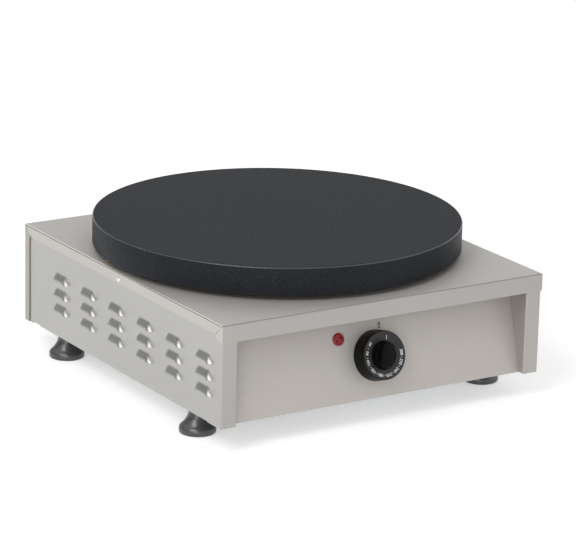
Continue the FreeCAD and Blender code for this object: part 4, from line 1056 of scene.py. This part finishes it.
for i in range(facets):
    j = (i + 1) % facets
    lens_form.faces.new((rows[-1][i], rows[-1][j], tip))
    lens_form.faces.new((rows[0][j], rows[0][i], heel))
red_lens = mottled("red_polycarbonate", "#8e1620", 0.16, 1.2, 0.01, 0.03, gloss=0.5)
lens = piece("faceted_lens", panel_form(lens_form, lens_x, lens_up), red_lens, smooth=False)
keep(lens, "root", "lens_red", "lamp_lens")

# Screws: raised countersunk screws hold the cover's side lips, and pan heads hold the base from
# below. All are upset from wire with a cross recess, and turned bright or zinc-plated.


def cross_head(name, radius, dome, thread, length):
    """A screw along Z, its seat at zero: a domed head with a cross recess over a plain shank."""
    steps = 32
    under_head = 0.0001
    rings = [[(r * cos(2 * pi * i / steps), r * sin(2 * pi * i / steps), z) for i in range(steps)]
             for r, z in ((thread, -length), (thread, -under_head), (radius, 0.0), (radius, dome * 0.25))]
    for share in (0.92, 0.8, 0.66, 0.52, 0.4, 0.3, 0.2, 0.1):
        ring = []
        for i in range(steps):
            x = radius * share * cos(2 * pi * i / steps)
            y = radius * share * sin(2 * pi * i / steps)
            slot = 1.0 if min(abs(x), abs(y)) < radius * 0.14 and share < 0.6 else 0.0
            ring.append((x, y, dome * (0.25 + 0.75 * (1 - share ** 2)) - slot * dome * 0.6))
        rings.append(ring)
    form = stacked(rings)
    bmesh.ops.recalc_face_normals(form, faces=form.faces)
    return bpy.data.objects.new(name, as_mesh(name, form))


screw_tree, given, result = new_tree("screw_set", [("Screw", "Object"), ("Plating", "Material")])
along = add(screw_tree, "GeometryNodeInputNamedAttribute", {"data_type": "FLOAT_VECTOR"},
            {"Name": "direction"})
turn = add(screw_tree, "FunctionNodeAlignRotationToVector", {"axis": "Z"}, {"Vector": along.outputs[0]})
shape = add(screw_tree, "GeometryNodeObjectInfo", None, {"Object": given.outputs["Screw"]})
spread = add(screw_tree, "GeometryNodeInstanceOnPoints", None,
             {"Points": given.outputs["Geometry"], "Instance": shape.outputs["Geometry"],
              "Rotation": turn.outputs[0]})
real = add(screw_tree, "GeometryNodeRealizeInstances", None, {"Geometry": spread.outputs[0]})
plated = add(screw_tree, "GeometryNodeSetMaterial", None,
             {"Geometry": real.outputs[0], "Material": given.outputs["Plating"]})
screw_tree.links.new(plated.outputs[0], result.inputs["Geometry"])


def screw_set(name, spots, screw, plating, slot, node):
    """Put a screw at each spot, given as a place and the way its head points."""
    mesh = bpy.data.meshes.new(name)
    mesh.from_pydata([place for place, _ in spots], [], [])
    direction = mesh.attributes.new("direction", "FLOAT_VECTOR", "POINT")
    for i, (_, way) in enumerate(spots):
        direction.data[i].vector = way
    made = grown(name, screw_tree, {"Screw": screw, "Plating": plating}, mesh)
    made.data.shade_smooth()
    made.data.set_sharp_from_angle(angle=radians(40))
    keep(made, "root", slot, node)


screw_radius = 0.0035
screw_thread = 0.00175
side_head = 0.85
side_dome = 0.0015
side_length = 0.008
base_dome = 0.002
base_length = 0.0062
bright_screw = mottled("bright_stainless_screw", "#f0eeea", 0.22, 1.5, 0.01, 0.05, 1.0)
bright_zinc = mottled("bright_zinc_plate", "#b9bcbf", 0.3, 1.5, 0.01, 0.06, 1.0)
spots = []
for low, high in solid_boxes("side_screws"):
    middle = (low + high) / 2
    way = 1.0 if middle.x > 0 else -1.0
    spots.append(((way * half_width, middle.y, middle.z), (way, 0.0, 0.0)))
side_screw = cross_head("side_screw", screw_radius * side_head, side_dome, screw_thread, side_length)
screw_set("side_screw_heads", spots, side_screw, bright_screw, "stainless_bright", "side_screws")
spots = []
for low, high in solid_boxes("base_screws"):
    middle = (low + high) / 2
    spots.append(((middle.x, middle.y, low_z), (0.0, 0.0, -1.0)))
base_screw = cross_head("base_screw", screw_radius, base_dome, screw_thread, base_length)
screw_set("base_screw_heads", spots, base_screw, bright_zinc, "zinc_steel", "base_screws")

# Cable gland: black nylon, its flange a hexagon and its cap nut ribbed for the hand. It is
# screwed through the rear wall, with an open bore.
gland_low, gland_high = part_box("cable_gland")
gland_middle = (gland_low + gland_high) / 2
cap_radius = 0.0115
cap_start = 0.0053
rib_count = 24
rib_root = -0.0003
rib_crest = 0.00045
rib_tree, given, result = new_tree("cap_ribs", [
    ("Rib", "Object"), ("Count", "Int"), ("Radius", "Float"), ("Nylon", "Material")])
around = add(rib_tree, "GeometryNodeMeshCircle", None,
             {"Vertices": given.outputs["Count"], "Radius": given.outputs["Radius"]})
spot = add(rib_tree, "GeometryNodeInputPosition")
turn = add(rib_tree, "FunctionNodeAlignRotationToVector", {"axis": "X"}, {"Vector": spot.outputs[0]})
shape = add(rib_tree, "GeometryNodeObjectInfo", None, {"Object": given.outputs["Rib"]})
ring = add(rib_tree, "GeometryNodeInstanceOnPoints", None,
           {"Points": around.outputs[0], "Instance": shape.outputs["Geometry"], "Rotation": turn.outputs[0]})
real = add(rib_tree, "GeometryNodeRealizeInstances", None, {"Geometry": ring.outputs[0]})
moulded = add(rib_tree, "GeometryNodeSetMaterial", None,
              {"Geometry": real.outputs[0], "Material": given.outputs["Nylon"]})
rib_tree.links.new(moulded.outputs[0], result.inputs["Geometry"])
nylon = mottled("moulded_nylon", "#1c1d1e", 0.48, 0.9, 0.04, 0.05)
rib_rings = []
for z, half in ((0.0, 0.00035), (0.0006, 0.00045), (0.0078, 0.00045), (0.0084, 0.0003)):
    rib_rings.append([(rib_root, -half, z), (rib_crest, -half * 0.7, z), (rib_crest, half * 0.7, z),
                      (rib_root, half, z)])
rib_form = stacked(rib_rings)
bmesh.ops.recalc_face_normals(rib_form, faces=rib_form.faces)
ribs = grown("gland_cap_ribs", rib_tree, {
    "Rib": bpy.data.objects.new("rib", as_mesh("rib", rib_form)), "Count": rib_count,
    "Radius": cap_radius, "Nylon": nylon}, bpy.data.meshes.new("empty"))
ribs.data.transform(Matrix.Translation((gland_middle.x, rear_y + cap_start, gland_middle.z)) @
                    Matrix.Rotation(radians(-90), 4, "X"))
keep(ribs, "root", "nylon_black")

# Parts left as they come from the frame: each takes the finish of its slot in the record, such as
# galvanised base sheet, bright and yellow zinc on fasteners, ceramic blocks and copper tube.
finishes = {
    "galvanised": mottled("galvanised_sheet", "#9c9fa0", 0.42, 9.0, 0.01, 0.08, 1.0, 0.12),
    "zinc_steel": bright_zinc,
    "zinc_yellow": mottled("yellow_passivated_zinc", "#7f6c46", 0.4, 1.5, 0.01, 0.06, 1.0, 0.1),
    "element_steel": mottled("oxidised_element_sheath", "#3b4038", 0.5, 1.2, 0.02, 0.06, 0.8),
    "ceramic_fibre": mottled("ceramic_fibre_board", "#ddd8cc", 0.92, 1.4, 0.3, 0.04),
    "ceramic_white": mottled("steatite_ceramic", "#e6e1d6", 0.45, 1.5, 0.02, 0.05),
    "lead_sleeve": mottled("braided_glass_sleeve", "#d3cfc2", 0.8, 0.9, 0.2, 0.05),
    "copper": mottled("drawn_copper_tube", "#b87553", 0.32, 1.5, 0.01, 0.06, 1.0),
    "nylon_black": nylon,
    "stainless_bright": bright_screw,
}
for part in frame["record"]["subparts"]:
    cad = nodes[part["node"]]
    if not cad.hide_render and part["node"] != "front_panel":
        cad.data.materials.clear()
        cad.data.materials.append(finishes[part["material_slot"]])
